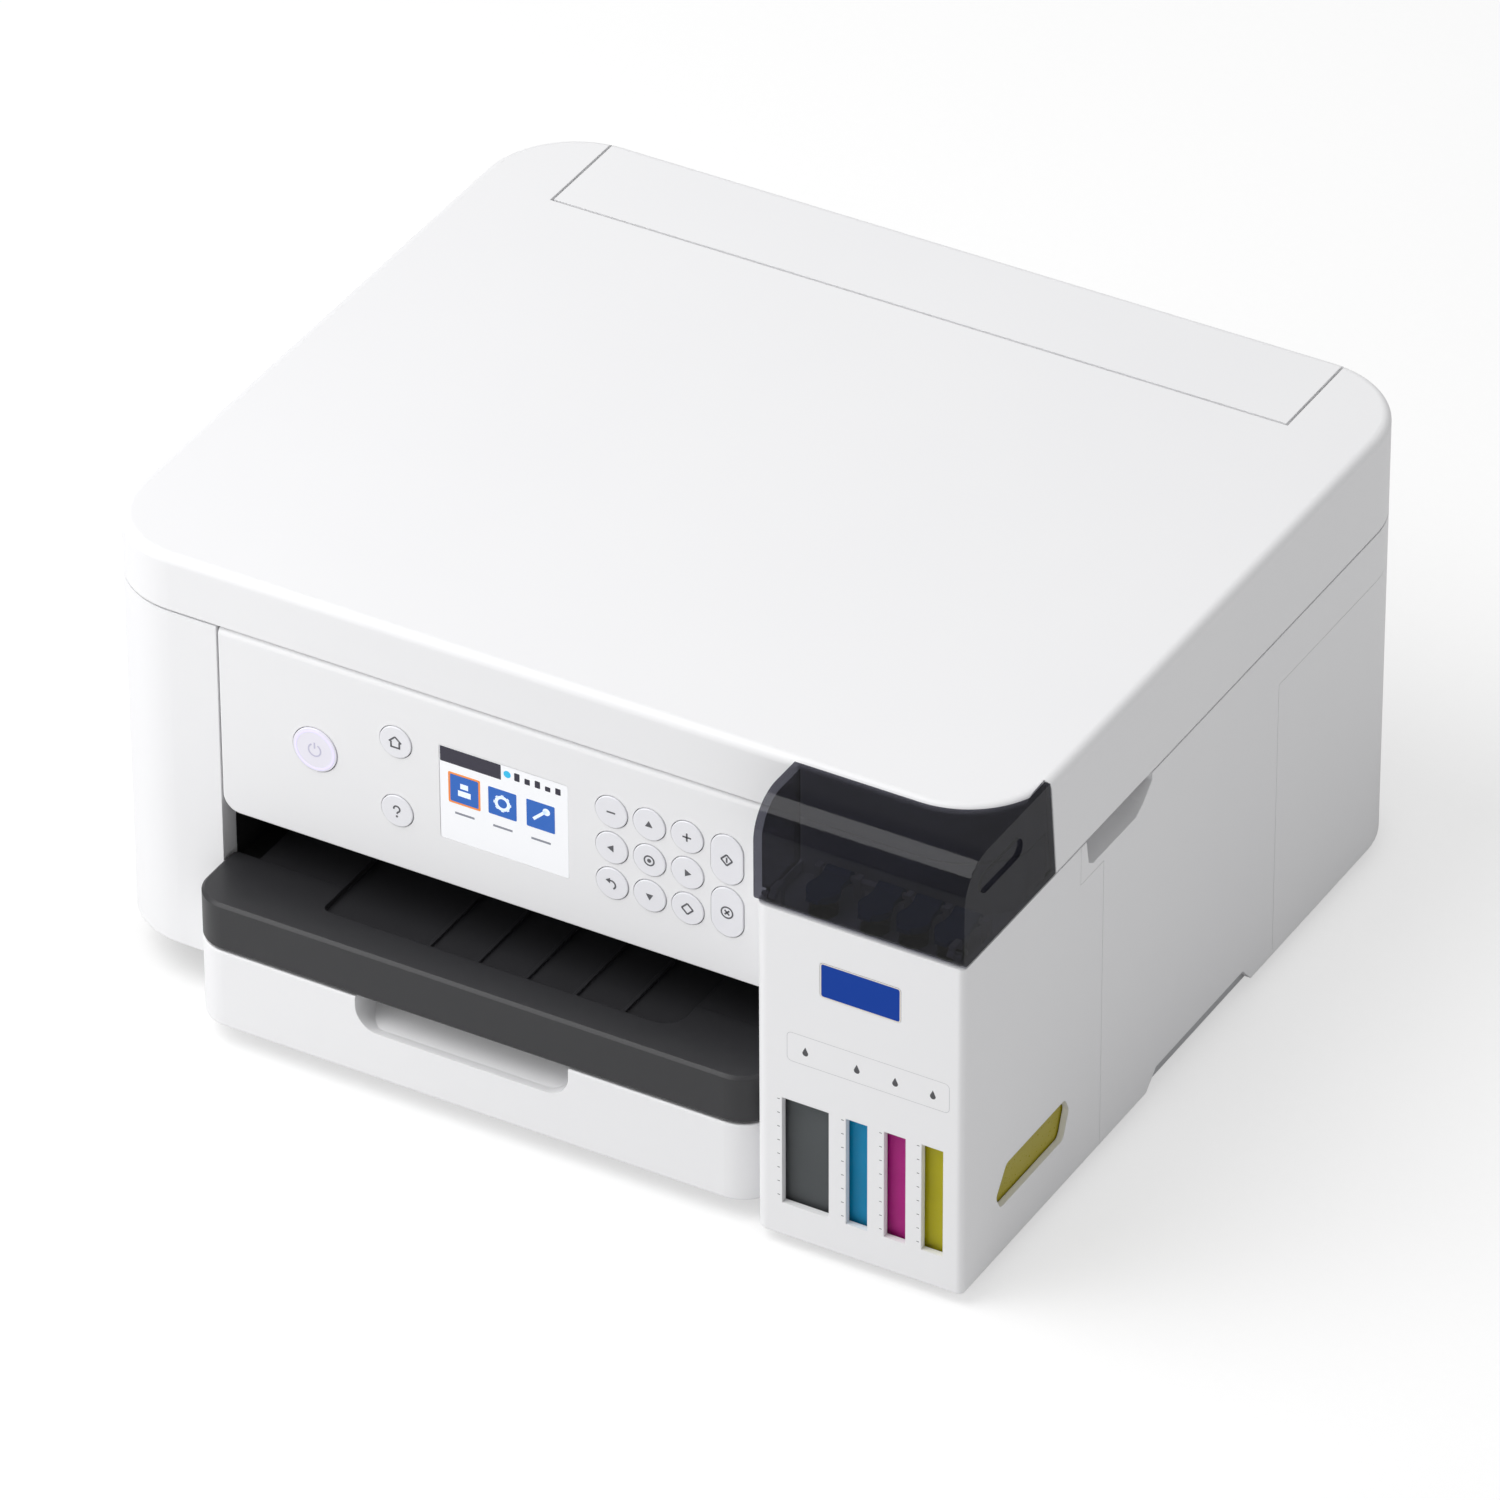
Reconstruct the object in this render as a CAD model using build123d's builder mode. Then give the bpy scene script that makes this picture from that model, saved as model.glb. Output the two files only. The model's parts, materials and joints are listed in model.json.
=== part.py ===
from build123d import *
from math import atan2, cos, pi, radians, sin
import os

# Compact tank printer: front is -Y, origin at the middle of the footprint on the table, millimetres

# Overall size
WIDTH = 375.0
DEPTH = 347.0
HEIGHT = 187.0

# Walls, gaps and fits
WALL = 2.5
SEAM = 0.8  # visible gap between neighbouring covers
SLIDE = 0.4  # gap round a sliding piece
RUN = 0.05  # radial gap of a pin in its hole
SEAT = 0.1  # gap between pieces that are screwed or clipped together

# Sides of the bounding box
RIGHT = WIDTH / 2
LEFT = -RIGHT
BACK = DEPTH / 2
FRONT = -BACK

# Heights above the table
FOOT = 5.0
COVER_RIM = 146.0  # lower edge of the top cover at the sides and back
COVER_RIM_FRONT = 163.8  # lower edge of the top cover above the control panel
BODY_TOP = COVER_RIM - SEAM
BODY_TOP_FRONT = COVER_RIM_FRONT - SEAM
PANEL_BOTTOM = 84.0
TRAY_TOP = 62.5
TRAY_BOTTOM = 42.6
CASSETTE_TOP = TRAY_BOTTOM - SEAM
REAR_SEAM = 124.5

# Plan positions
BODY_FRONT = FRONT + 30.0  # plane of the control panel and the left column
DRAWER_FRONT = FRONT + 4.0  # plane of the output tray and the cassette
BAY_LEFT = LEFT + 54.0
TANK_LEFT = RIGHT - 83.5
STEP_Y = BODY_FRONT + 34.0  # where the cover rim steps down at the sides
CORNER_FRONT = 34.0
CORNER_BACK = 38.0
COVER_EDGE = 3.5  # rounding of the top edge
TANK_SEAM_Y = FRONT + 101.5
REAR_SEAM_Y = BACK - 113.5
PAPER_X = (BAY_LEFT + TANK_LEFT) / 2  # middle of the paper path

# Hinge lines
COVER_HINGE = (BACK - 2.2, COVER_RIM + 2.2)
COVER_HINGE_X = 110.0
COVER_PIN = 1.2
FLAP_HINGE = (BACK - 5.0, HEIGHT - 5.5)
FLAP_PIN = 1.6
PANEL_HINGE = (BODY_FRONT + 3.0, BODY_TOP_FRONT - 3.0)
PANEL_PIN = 1.4
TANK_COVER_ROUND = 2.6
TANK_COVER_HINGE = (FRONT + TANK_COVER_ROUND, COVER_RIM + TANK_COVER_ROUND)
TANK_COVER_PIN = 0.9


def middle(span):
    return (span[0] + span[1]) / 2


def length(span):
    return span[1] - span[0]


def block(x, y, z, mode=Mode.ADD):
    # Box between two opposite corners, given as one span per axis
    with Locations((middle(x), middle(y), middle(z))):
        Box(length(x), length(y), length(z), mode=mode)


def bar_x(centre, radius, x, mode=Mode.ADD):
    # Round bar or hole along X through (y, z)
    with BuildSketch(Plane.YZ.offset(x[0])) as section:
        with Locations(centre):
            Circle(radius)
    extrude(section.sketch, amount=length(x), mode=mode)


def profile_x(points, x, mode=Mode.ADD):
    # Side outline of (y, z) points, run along X
    with BuildSketch(Plane.YZ.offset(x[0])) as section:
        with BuildLine():
            Polyline(*points, close=True)
        make_face()
    extrude(section.sketch, amount=length(x), mode=mode)


def facing(y):
    # Sketch plane seen from the front: local axes are X and Z
    return Plane.XZ.offset(-y)


def plan(z, inset=0.0):
    # Outline shared by the casing and the top cover, seen from above
    with BuildSketch(Plane.XY.offset(z)) as outline:
        with Locations((0, (BODY_FRONT + BACK) / 2)):
            Rectangle(WIDTH - 2 * inset, BACK - BODY_FRONT - 2 * inset)
        fillet(outline.vertices().group_by(Axis.Y)[-1], CORNER_BACK - inset)
        fillet(outline.vertices().group_by(Axis.Y)[0], CORNER_FRONT - inset)
    return outline.sketch


def ring(low, high, outside=0.0):
    # Upright wall on the shared outline
    extrude(plan(low, outside), amount=high - low)
    extrude(plan(low, outside + WALL), amount=high - low, mode=Mode.SUBTRACT)


def save(built, name):
    built.part.label = name
    export_step(built.part, f"parts/{name}.step")


# Tank cover: smoke shell whose back edge follows the top cover's round corner
TANK_COVER_WALL = 2.2
TANK_COVER_BACK_TOP = STEP_Y - 3.0
TANK_COVER_BACK_LOW = STEP_Y + 1.6
TANK_COVER_NOSE = 16.0
GRIP_SIZE = (30.0, 8.0)
GRIP_CENTRE = (FRONT + 26.5, COVER_RIM + 27.5)
EAR_WIDTH = 2.7
LUG_WIDTH = 2.5
LUG_GAP = 0.3

with BuildPart() as tank_cover:
    with BuildSketch(Plane.YZ.offset(TANK_LEFT)) as cover_side:
        with BuildLine():
            Polyline(
                (FRONT, COVER_RIM),
                (FRONT, HEIGHT),
                (TANK_COVER_BACK_TOP, HEIGHT),
                (TANK_COVER_BACK_LOW, COVER_RIM),
                close=True,
            )
        make_face()
        fillet(cover_side.vertices().group_by(Axis.X)[0].sort_by(Axis.Y)[-1], TANK_COVER_NOSE)
        fillet(cover_side.vertices().group_by(Axis.X)[0].sort_by(Axis.Y)[0], TANK_COVER_ROUND)
    extrude(amount=RIGHT - TANK_LEFT)
    with BuildSketch(Plane.YZ.offset(TANK_LEFT + TANK_COVER_WALL)) as cover_hollow:
        with BuildLine():
            Polyline(
                (FRONT + TANK_COVER_WALL, COVER_RIM - 1),
                (FRONT + TANK_COVER_WALL, HEIGHT - TANK_COVER_WALL),
                (STEP_Y + 10, HEIGHT - TANK_COVER_WALL),
                (STEP_Y + 10, COVER_RIM - 1),
                close=True,
            )
        make_face()
        nose = cover_hollow.vertices().group_by(Axis.X)[0].sort_by(Axis.Y)[-1]
        fillet(nose, TANK_COVER_NOSE - TANK_COVER_WALL)
    extrude(amount=RIGHT - TANK_LEFT - 2 * TANK_COVER_WALL, mode=Mode.SUBTRACT)
    # Room for the top cover's round corner, which leaves the right wall whole
    with BuildPart(mode=Mode.PRIVATE) as cover_room:
        extrude(plan(COVER_RIM - 1, -SEAM), amount=HEIGHT - COVER_RIM + 2)
        block(
            (LEFT - 1, RIGHT - TANK_COVER_WALL),
            (FRONT, BACK + 1),
            (COVER_RIM - 2, HEIGHT + 2),
            Mode.INTERSECT,
        )
    add(cover_room.part, mode=Mode.SUBTRACT)
    # Finger grip sunk into the right wall
    with BuildSketch(Plane.YZ.offset(RIGHT - TANK_COVER_WALL / 2)):
        with Locations(GRIP_CENTRE):
            SlotOverall(*GRIP_SIZE)
    extrude(amount=TANK_COVER_WALL, mode=Mode.SUBTRACT)
    # Hinge ears at both ends, each with a pin hole and room for the housing's lug beside it
    for ear in (TANK_LEFT + TANK_COVER_WALL, RIGHT - TANK_COVER_WALL - EAR_WIDTH):
        bar_x(TANK_COVER_HINGE, TANK_COVER_ROUND, (ear, ear + EAR_WIDTH))
        bar_x(TANK_COVER_HINGE, TANK_COVER_PIN + RUN, (ear, ear + EAR_WIDTH), Mode.SUBTRACT)
    for lug in (
        TANK_LEFT + TANK_COVER_WALL + EAR_WIDTH,
        RIGHT - TANK_COVER_WALL - EAR_WIDTH - LUG_WIDTH - 2 * LUG_GAP,
    ):
        bar_x(TANK_COVER_HINGE, 1.6, (lug, lug + LUG_WIDTH + 2 * LUG_GAP), Mode.SUBTRACT)
save(tank_cover, "tank_cover")

# Top cover: shell with a raised front rim, hinge pins at the back and an opening for the feed flap
FLAP_X = RIGHT - 34.0
FLAP_FRONT = BACK - 45.8
FLAP_LIP = HEIGHT - 10.5
FLAP_GAP = 1.0
COVER_SIDE_CUT = RIGHT - TANK_COVER_WALL - SEAM
HINGE_LUG = 24.0
RIB = 1.2
RIB_HEIGHT = 5.0

with BuildPart() as top_cover:
    extrude(plan(COVER_RIM), amount=HEIGHT - COVER_RIM)
    fillet(top_cover.edges().group_by(Axis.Z)[-1], COVER_EDGE)
    extrude(plan(COVER_RIM, WALL), amount=HEIGHT - WALL - COVER_RIM, mode=Mode.SUBTRACT)
    block((LEFT - 1, RIGHT + 1), (FRONT, STEP_Y), (COVER_RIM - 1, COVER_RIM_FRONT), Mode.SUBTRACT)
    # Right wall set inwards where the tank cover wraps the corner
    profile_x(
        [
            (FRONT, COVER_RIM - 1),
            (TANK_COVER_BACK_LOW + SEAM, COVER_RIM - 1),
            (TANK_COVER_BACK_TOP + SEAM, HEIGHT + 1),
            (FRONT, HEIGHT + 1),
        ],
        (COVER_SIDE_CUT, RIGHT + 1),
        Mode.SUBTRACT,
    )
    block(
        (COVER_SIDE_CUT - WALL, COVER_SIDE_CUT),
        (STEP_Y - 11.0, STEP_Y),
        (COVER_RIM_FRONT, HEIGHT - WALL + 0.5),
    )
    block(
        (COVER_SIDE_CUT - WALL, COVER_SIDE_CUT),
        (STEP_Y, TANK_COVER_BACK_LOW + 4),
        (COVER_RIM, HEIGHT - WALL + 0.5),
    )
    # Opening for the rear feed flap, with a ledge under the flap's front edge
    block(
        (-FLAP_X - FLAP_GAP, FLAP_X + FLAP_GAP),
        (FLAP_FRONT - FLAP_GAP, BACK + 1),
        (FLAP_LIP - 2, HEIGHT + 1),
        Mode.SUBTRACT,
    )
    block(
        (-FLAP_X - 4, FLAP_X + 4),
        (FLAP_FRONT - 4, FLAP_FRONT + 3),
        (HEIGHT - WALL - 3, HEIGHT - WALL - SLIDE),
    )
    block(
        (-FLAP_X - 4, FLAP_X + 4),
        (FLAP_FRONT - 4, FLAP_FRONT - FLAP_GAP),
        (HEIGHT - WALL - 3, HEIGHT - WALL + 0.5),
    )
    for side in (-1, 1):
        cheek = sorted((side * (FLAP_X + FLAP_GAP), side * (FLAP_X + FLAP_GAP + WALL)))
        block(cheek, (FLAP_HINGE[0] - 8, BACK - WALL), (FLAP_LIP - 6, HEIGHT - WALL + 0.5))
        bar_x(FLAP_HINGE, FLAP_PIN + RUN, cheek, Mode.SUBTRACT)
    # Stiffening ribs under the top
    with Locations((0, (BODY_FRONT + FLAP_FRONT) / 2, HEIGHT - WALL - RIB_HEIGHT / 2)):
        with GridLocations(WIDTH / 6, 0, 5, 1):
            Box(RIB, FLAP_FRONT - BODY_FRONT - 14, RIB_HEIGHT)
        with GridLocations(0, DEPTH / 5, 1, 3):
            Box(WIDTH - 16, RIB, RIB_HEIGHT)
    # Bevel and notches of the back edge, where the cover turns about its pins
    profile_x(
        [(BACK - 1, COVER_RIM - 0.1), (BACK + 0.1, COVER_RIM - 0.1), (BACK + 0.1, COVER_RIM + 1)],
        (-RIGHT + 20, RIGHT - 20),
        Mode.SUBTRACT,
    )
    for centre in (-COVER_HINGE_X, COVER_HINGE_X):
        notch = (centre - HINGE_LUG / 2 - SEAM, centre + HINGE_LUG / 2 + SEAM)
        block(notch, (BACK - WALL - 1, BACK + 1), (COVER_RIM - 1, COVER_HINGE[1] + 2.7), Mode.SUBTRACT)
        for end, way in ((notch[0], -1), (notch[1], 1)):
            bar_x(COVER_HINGE, 2.2, sorted((end, end + way * 5)))
            bar_x(COVER_HINGE, COVER_PIN, sorted((end - way * 5, end + way * 5)))
save(top_cover, "top_cover")

# Rear feed flap: lid of the sheet slot in the back of the top cover
with BuildPart() as rear_flap:
    extrude(plan(FLAP_LIP), amount=HEIGHT - FLAP_LIP)
    fillet(rear_flap.edges().group_by(Axis.Z)[-1], COVER_EDGE)
    block((-FLAP_X, FLAP_X), (FLAP_FRONT, BACK + 1), (FLAP_LIP - 1, HEIGHT + 1), Mode.INTERSECT)
    block(
        (-FLAP_X - 1, FLAP_X + 1),
        (FLAP_FRONT - 1, BACK - WALL),
        (FLAP_LIP - 1, HEIGHT - WALL),
        Mode.SUBTRACT,
    )
    for side in (-1, 1):
        tab = sorted((side * (FLAP_X - WALL), side * FLAP_X))
        block(tab, (FLAP_HINGE[0] - 3, BACK - WALL), (FLAP_HINGE[1] - 3, HEIGHT - WALL))
        pin = sorted((side * (FLAP_X - WALL), side * (FLAP_X + FLAP_GAP + WALL - 0.4)))
        bar_x(FLAP_HINGE, FLAP_PIN, pin)
save(rear_flap, "rear_flap")

# Left casing: column beside the drawers, left wall and the rounded corners
COLUMN_BOTTOM = 17.0
REVEAL = 9.0

with BuildPart() as left_casing:
    ring(FOOT, BODY_TOP_FRONT)
    profile_x(
        [
            (BODY_FRONT - 1, COLUMN_BOTTOM),
            (BODY_FRONT + 44, COLUMN_BOTTOM),
            (BODY_FRONT + 56, FOOT),
            (REAR_SEAM_Y, FOOT),
            (REAR_SEAM_Y, REAR_SEAM),
            (BACK + 1, REAR_SEAM),
            (BACK + 1, BODY_TOP),
            (STEP_Y, BODY_TOP),
            (STEP_Y, BODY_TOP_FRONT),
            (BODY_FRONT - 1, BODY_TOP_FRONT),
        ],
        (LEFT - 1, BAY_LEFT),
        Mode.INTERSECT,
    )
    block((BAY_LEFT - WALL, BAY_LEFT), (BODY_FRONT, BODY_FRONT + REVEAL), (COLUMN_BOTTOM, BODY_TOP_FRONT))
    bar_x(PANEL_HINGE, PANEL_PIN + RUN, (BAY_LEFT - WALL, BAY_LEFT), Mode.SUBTRACT)
save(left_casing, "left_casing")

# Right casing: right wall with a foot notch below and a finger scoop under the cover
SCOOP_DEPTH = 9.0
SCOOP_LINER = 1.5
NOTCH_RISE = 7.0
scoop = [
    (TANK_SEAM_Y - 13.3, BODY_TOP + 1),
    (TANK_SEAM_Y - 11.2, BODY_TOP - 10),
    (TANK_SEAM_Y - 8.2, BODY_TOP - 12),
    (TANK_SEAM_Y + 23.5, BODY_TOP - 12),
    (TANK_SEAM_Y + 28.7, BODY_TOP - 9),
    (TANK_SEAM_Y + 35.4, BODY_TOP - 3),
    (TANK_SEAM_Y + 35.4, BODY_TOP + 1),
]
scoop_front = TANK_SEAM_Y - 17.0
scoop_floor = BODY_TOP - 16.0

with BuildPart() as right_casing:
    ring(FOOT, BODY_TOP)
    profile_x(
        [
            (TANK_SEAM_Y, FOOT),
            (TANK_SEAM_Y + 35, FOOT),
            (TANK_SEAM_Y + 42.5, FOOT + NOTCH_RISE),
            (REAR_SEAM_Y - 23, FOOT + NOTCH_RISE),
            (REAR_SEAM_Y - 16.5, FOOT),
            (REAR_SEAM_Y, FOOT),
            (REAR_SEAM_Y, REAR_SEAM),
            (BACK + 1, REAR_SEAM),
            (BACK + 1, BODY_TOP),
            (scoop_front, BODY_TOP),
            (scoop_front, scoop_floor),
            (TANK_SEAM_Y, scoop_floor),
        ],
        (RIGHT - 54, RIGHT + 1),
        Mode.INTERSECT,
    )
    block(
        (RIGHT - WALL - SCOOP_DEPTH, RIGHT - WALL),
        (scoop[0][0] - SCOOP_LINER, scoop[-1][0] + SCOOP_LINER),
        (scoop[3][1] - SCOOP_LINER, BODY_TOP),
    )
    profile_x(scoop, (RIGHT - WALL - SCOOP_DEPTH + SCOOP_LINER, RIGHT + 1), Mode.SUBTRACT)
save(right_casing, "right_casing")

# Rear casing: back wall with both lower corners, cover hinge lugs, vents and the power inlet opening
INLET_X = RIGHT - 62.0
INLET_Z = 30.0
INLET_SIZE = (28.0, 21.0)
VENT_SIZE = (34.0, 2.4)
VENT_CENTRE = (-40.0, 92.0)

with BuildPart() as rear_casing:
    ring(FOOT, BODY_TOP)
    profile_x(
        [
            (REAR_SEAM_Y + SEAT, FOOT),
            (BACK + 1, FOOT),
            (BACK + 1, BODY_TOP),
            (BACK - CORNER_BACK, BODY_TOP),
            (BACK - CORNER_BACK, REAR_SEAM - SEAT),
            (REAR_SEAM_Y + SEAT, REAR_SEAM - SEAT),
        ],
        (LEFT - 1, RIGHT + 1),
        Mode.INTERSECT,
    )
    upper = (REAR_SEAM - SEAT, BODY_TOP + 1)
    block((LEFT - 1, BAY_LEFT + SEAT), (0, BACK + 1), upper, Mode.SUBTRACT)
    block((RIGHT - 54 - SEAT, RIGHT + 1), (0, BACK + 1), upper, Mode.SUBTRACT)
    # Lugs that carry the top cover's pins
    for centre in (-COVER_HINGE_X, COVER_HINGE_X):
        lug = (centre - HINGE_LUG / 2, centre + HINGE_LUG / 2)
        block(lug, (COVER_HINGE[0] - 1.9, COVER_HINGE[0] + 1.9), (BODY_TOP - 6, COVER_HINGE[1]))
        bar_x(COVER_HINGE, 1.9, lug)
        bar_x(COVER_HINGE, COVER_PIN + RUN, lug, Mode.SUBTRACT)
    # Vent slots and the power inlet opening
    with BuildSketch(facing(BACK + 1)):
        with Locations(VENT_CENTRE):
            with GridLocations(46, 8, 4, 4):
                SlotOverall(*VENT_SIZE)
    extrude(amount=WALL + 2, mode=Mode.SUBTRACT)
    with BuildSketch(facing(BACK + 1)):
        with Locations((INLET_X, INLET_Z)):
            Rectangle(*INLET_SIZE)
    extrude(amount=WALL + 2, mode=Mode.SUBTRACT)
save(rear_casing, "rear_casing")

# Ink tanks: one wide black tank and three narrow ones, seen through windows in the housing
WINDOW_Z = (19.0, 65.0)
BLACK_X = RIGHT - 62.9
COLOUR_X = (RIGHT - 42.3, RIGHT - 27.0, RIGHT - 12.0)
BLACK_WINDOW = 18.8
COLOUR_WINDOW = 8.6
BLACK_TANK = 25.0
COLOUR_TANK = 13.6
TANK_WALL = 1.2
TANK_Y = (FRONT + WALL + 0.3, scoop_front - 1.5)
DECK_Z = (BODY_TOP - 6.7, BODY_TOP - 4.2)
TANK_Z = (FOOT + WALL + 0.5, DECK_Z[0] - 4.0)
INK_LEVEL = 68.0
NECK_Y = FRONT + 13.0
NECK_RADIUS = 5.2
NECK_BORE = 4.0
NECK_TOP = COVER_RIM + 1.5
NECKS = (BLACK_X, *COLOUR_X)

# Filler cap hinges: a rod behind the necks
CAP_HINGE = (FRONT + 24.0, NECK_TOP + 2.0)
CAP_ROD = 1.2
CAP_WIDTH = 10.0
CAP_RADIUS = 6.2

# Name plate place, left bare
PLATE_SIZE = (32.4, 15.0)
PLATE_CENTRE = (RIGHT - 40.9, 121.5)
PLATE_DEPTH = 0.6

# Tank housing: white unit with ink windows, filler deck and the round wall behind the tank cover
CURVED_WALL_INSET = COVER_SIDE_CUT - WALL

with BuildPart() as tank_housing:
    block((TANK_LEFT, RIGHT), (FRONT, TANK_SEAM_Y - SEAT), (FOOT, BODY_TOP))
    fillet(tank_housing.edges().filter_by(Axis.Z).group_by(Axis.Y)[0].sort_by(Axis.X)[0], 5.0)
    fillet(tank_housing.edges().filter_by(Axis.Z).group_by(Axis.Y)[0].sort_by(Axis.X)[-1], 2.4)
    # Tank bay, closed above by the filler deck
    bay_x = (TANK_LEFT + WALL, RIGHT - WALL)
    block(bay_x, (FRONT + WALL, TANK_SEAM_Y), (FOOT + WALL, DECK_Z[0]), Mode.SUBTRACT)
    block(bay_x, (FRONT + WALL, TANK_SEAM_Y), (DECK_Z[1], BODY_TOP + 1), Mode.SUBTRACT)
    block(bay_x, (STEP_Y, TANK_SEAM_Y), (DECK_Z[0] - 1, BODY_TOP + 1), Mode.SUBTRACT)
    block(
        (TANK_LEFT - 1, TANK_LEFT + WALL + 1),
        (STEP_Y, TANK_SEAM_Y),
        (FOOT + WALL, BODY_TOP + 1),
        Mode.SUBTRACT,
    )
    block(
        (RIGHT - WALL - 1, RIGHT + 1),
        (scoop_front - SEAT, TANK_SEAM_Y),
        (scoop_floor - SEAT, BODY_TOP + 1),
        Mode.SUBTRACT,
    )
    # Round wall that carries on the line of the top cover
    with BuildPart(mode=Mode.PRIVATE) as round_wall:
        extrude(plan(DECK_Z[1] - 0.5), amount=BODY_TOP_FRONT - DECK_Z[1] + 0.5)
        block(
            (COVER_SIDE_CUT, RIGHT + 1),
            (FRONT, BACK),
            (DECK_Z[1] - 1, BODY_TOP_FRONT + 1),
            Mode.SUBTRACT,
        )
        block(
            (TANK_LEFT, RIGHT + 1),
            (FRONT, STEP_Y - SEAM),
            (DECK_Z[1] - 1, BODY_TOP_FRONT + 1),
            Mode.INTERSECT,
        )
        with BuildPart(mode=Mode.PRIVATE) as round_hollow:
            extrude(plan(DECK_Z[1] - 1, WALL), amount=BODY_TOP_FRONT)
            block(
                (TANK_LEFT + WALL, CURVED_WALL_INSET),
                (FRONT, STEP_Y + 1),
                (0, HEIGHT * 2),
                Mode.INTERSECT,
            )
        add(round_hollow.part, mode=Mode.SUBTRACT)
    add(round_wall.part)
    bar_x(PANEL_HINGE, PANEL_PIN + RUN, (TANK_LEFT - 1, TANK_LEFT + WALL), Mode.SUBTRACT)
    # Ink windows in front and the slanted one in the side
    with BuildSketch(facing(FRONT - 1)) as windows:
        with Locations((BLACK_X, middle(WINDOW_Z))):
            Rectangle(BLACK_WINDOW, length(WINDOW_Z))
        for window_x in COLOUR_X:
            with Locations((window_x, middle(WINDOW_Z))):
                Rectangle(COLOUR_WINDOW, length(WINDOW_Z))
    extrude(windows.sketch, amount=-WALL - 1.5, mode=Mode.SUBTRACT)
    with BuildSketch(Plane.YZ.offset(RIGHT - WALL - 0.5)) as side_window:
        with BuildLine():
            Polyline(
                (FRONT + 28.0, 24.9),
                (FRONT + 74.0, 24.9),
                (FRONT + 78.0, 36.0),
                (FRONT + 75.0, 41.8),
                (FRONT + 32.0, 41.8),
                (FRONT + 24.5, 31.0),
                close=True,
            )
        make_face()
        fillet(side_window.vertices(), 3.0)
    extrude(side_window.sketch, amount=WALL + 2, mode=Mode.SUBTRACT)
    # Seat of the name plate
    with BuildSketch(facing(FRONT)) as plate_seat:
        with Locations(PLATE_CENTRE):
            RectangleRounded(*PLATE_SIZE, 1.5)
    extrude(plate_seat.sketch, amount=-PLATE_DEPTH, mode=Mode.SUBTRACT)
    # Neck holes in the deck
    with BuildSketch(Plane.XY.offset(DECK_Z[0] - 1)) as neck_holes:
        with Locations(*[(neck_x, NECK_Y) for neck_x in NECKS]):
            Circle(NECK_RADIUS + 0.3)
    extrude(neck_holes.sketch, amount=length(DECK_Z) + 2, mode=Mode.SUBTRACT)
    # Rod and posts for the filler caps
    rod_x = (BLACK_X - 9.0, COLOUR_X[-1] + 8.6)
    bar_x(CAP_HINGE, CAP_ROD, rod_x)
    posts = (rod_x[0] + 1.2, BLACK_X + 8.0, *[neck_x + 7.55 for neck_x in COLOUR_X])
    for post_x in posts:
        post = (post_x - 1.2, post_x + 1.2)
        block(post, (CAP_HINGE[0] - 1.8, CAP_HINGE[0] + 1.8), (DECK_Z[1] - 0.5, CAP_HINGE[1] + 1.6))
    # Swan-neck lugs that carry the tank cover
    hinge_y, hinge_z = TANK_COVER_HINGE
    for lug_x, pin_way in (
        (TANK_LEFT + TANK_COVER_WALL + EAR_WIDTH + LUG_GAP, -1),
        (RIGHT - TANK_COVER_WALL - EAR_WIDTH - LUG_WIDTH - LUG_GAP, 1),
    ):
        lug = (lug_x, lug_x + LUG_WIDTH)
        bar_x(TANK_COVER_HINGE, 1.3, lug)
        profile_x(
            [
                (hinge_y + 0.2, hinge_z + 0.3),
                (hinge_y + 3.4, hinge_z + 0.9),
                (hinge_y + 3.4, DECK_Z[1] - 0.5),
                (hinge_y + 5.6, DECK_Z[1] - 0.5),
                (hinge_y + 5.6, hinge_z + 3.0),
                (hinge_y + 0.2, hinge_z + 3.0),
            ],
            lug,
        )
        pin_end = lug_x + (LUG_WIDTH if pin_way > 0 else 0)
        bar_x(TANK_COVER_HINGE, TANK_COVER_PIN, sorted((pin_end - pin_way, pin_end + pin_way * 2.6)))
save(tank_housing, "tank_housing")


def tank(centre_x, width):
    # Ink tank with its filler neck, open at the top of the neck
    x = (centre_x - width / 2, centre_x + width / 2)
    block(x, TANK_Y, TANK_Z)
    with Locations((centre_x, NECK_Y, (TANK_Z[1] + NECK_TOP) / 2 - 0.25)):
        Cylinder(NECK_RADIUS, NECK_TOP - TANK_Z[1] + 0.5)
    inner_x = (x[0] + TANK_WALL, x[1] - TANK_WALL)
    inner_y = (TANK_Y[0] + TANK_WALL, TANK_Y[1] - TANK_WALL)
    block(inner_x, inner_y, (TANK_Z[0] + TANK_WALL, TANK_Z[1] - TANK_WALL), Mode.SUBTRACT)
    with Locations((centre_x, NECK_Y, NECK_TOP - 6)):
        Cylinder(NECK_BORE, 2 * (NECK_TOP - TANK_Z[1]), mode=Mode.SUBTRACT)


def ink(centre_x, width):
    # Ink standing in a tank
    clear = TANK_WALL + SEAT
    block(
        (centre_x - width / 2 + clear, centre_x + width / 2 - clear),
        (TANK_Y[0] + clear, TANK_Y[1] - clear),
        (TANK_Z[0] + clear, INK_LEVEL),
    )


with BuildPart() as tank_black:
    tank(BLACK_X, BLACK_TANK)
save(tank_black, "tank_black")

with BuildPart() as tanks_colour:
    for tank_x in COLOUR_X:
        tank(tank_x, COLOUR_TANK)
save(tanks_colour, "tanks_colour")

with BuildPart() as ink_black:
    ink(BLACK_X, BLACK_TANK)
save(ink_black, "ink_black")

for ink_x, ink_name in zip(COLOUR_X, ("ink_cyan", "ink_magenta", "ink_yellow")):
    with BuildPart() as ink_colour:
        ink(ink_x, COLOUR_TANK)
    save(ink_colour, ink_name)

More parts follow.
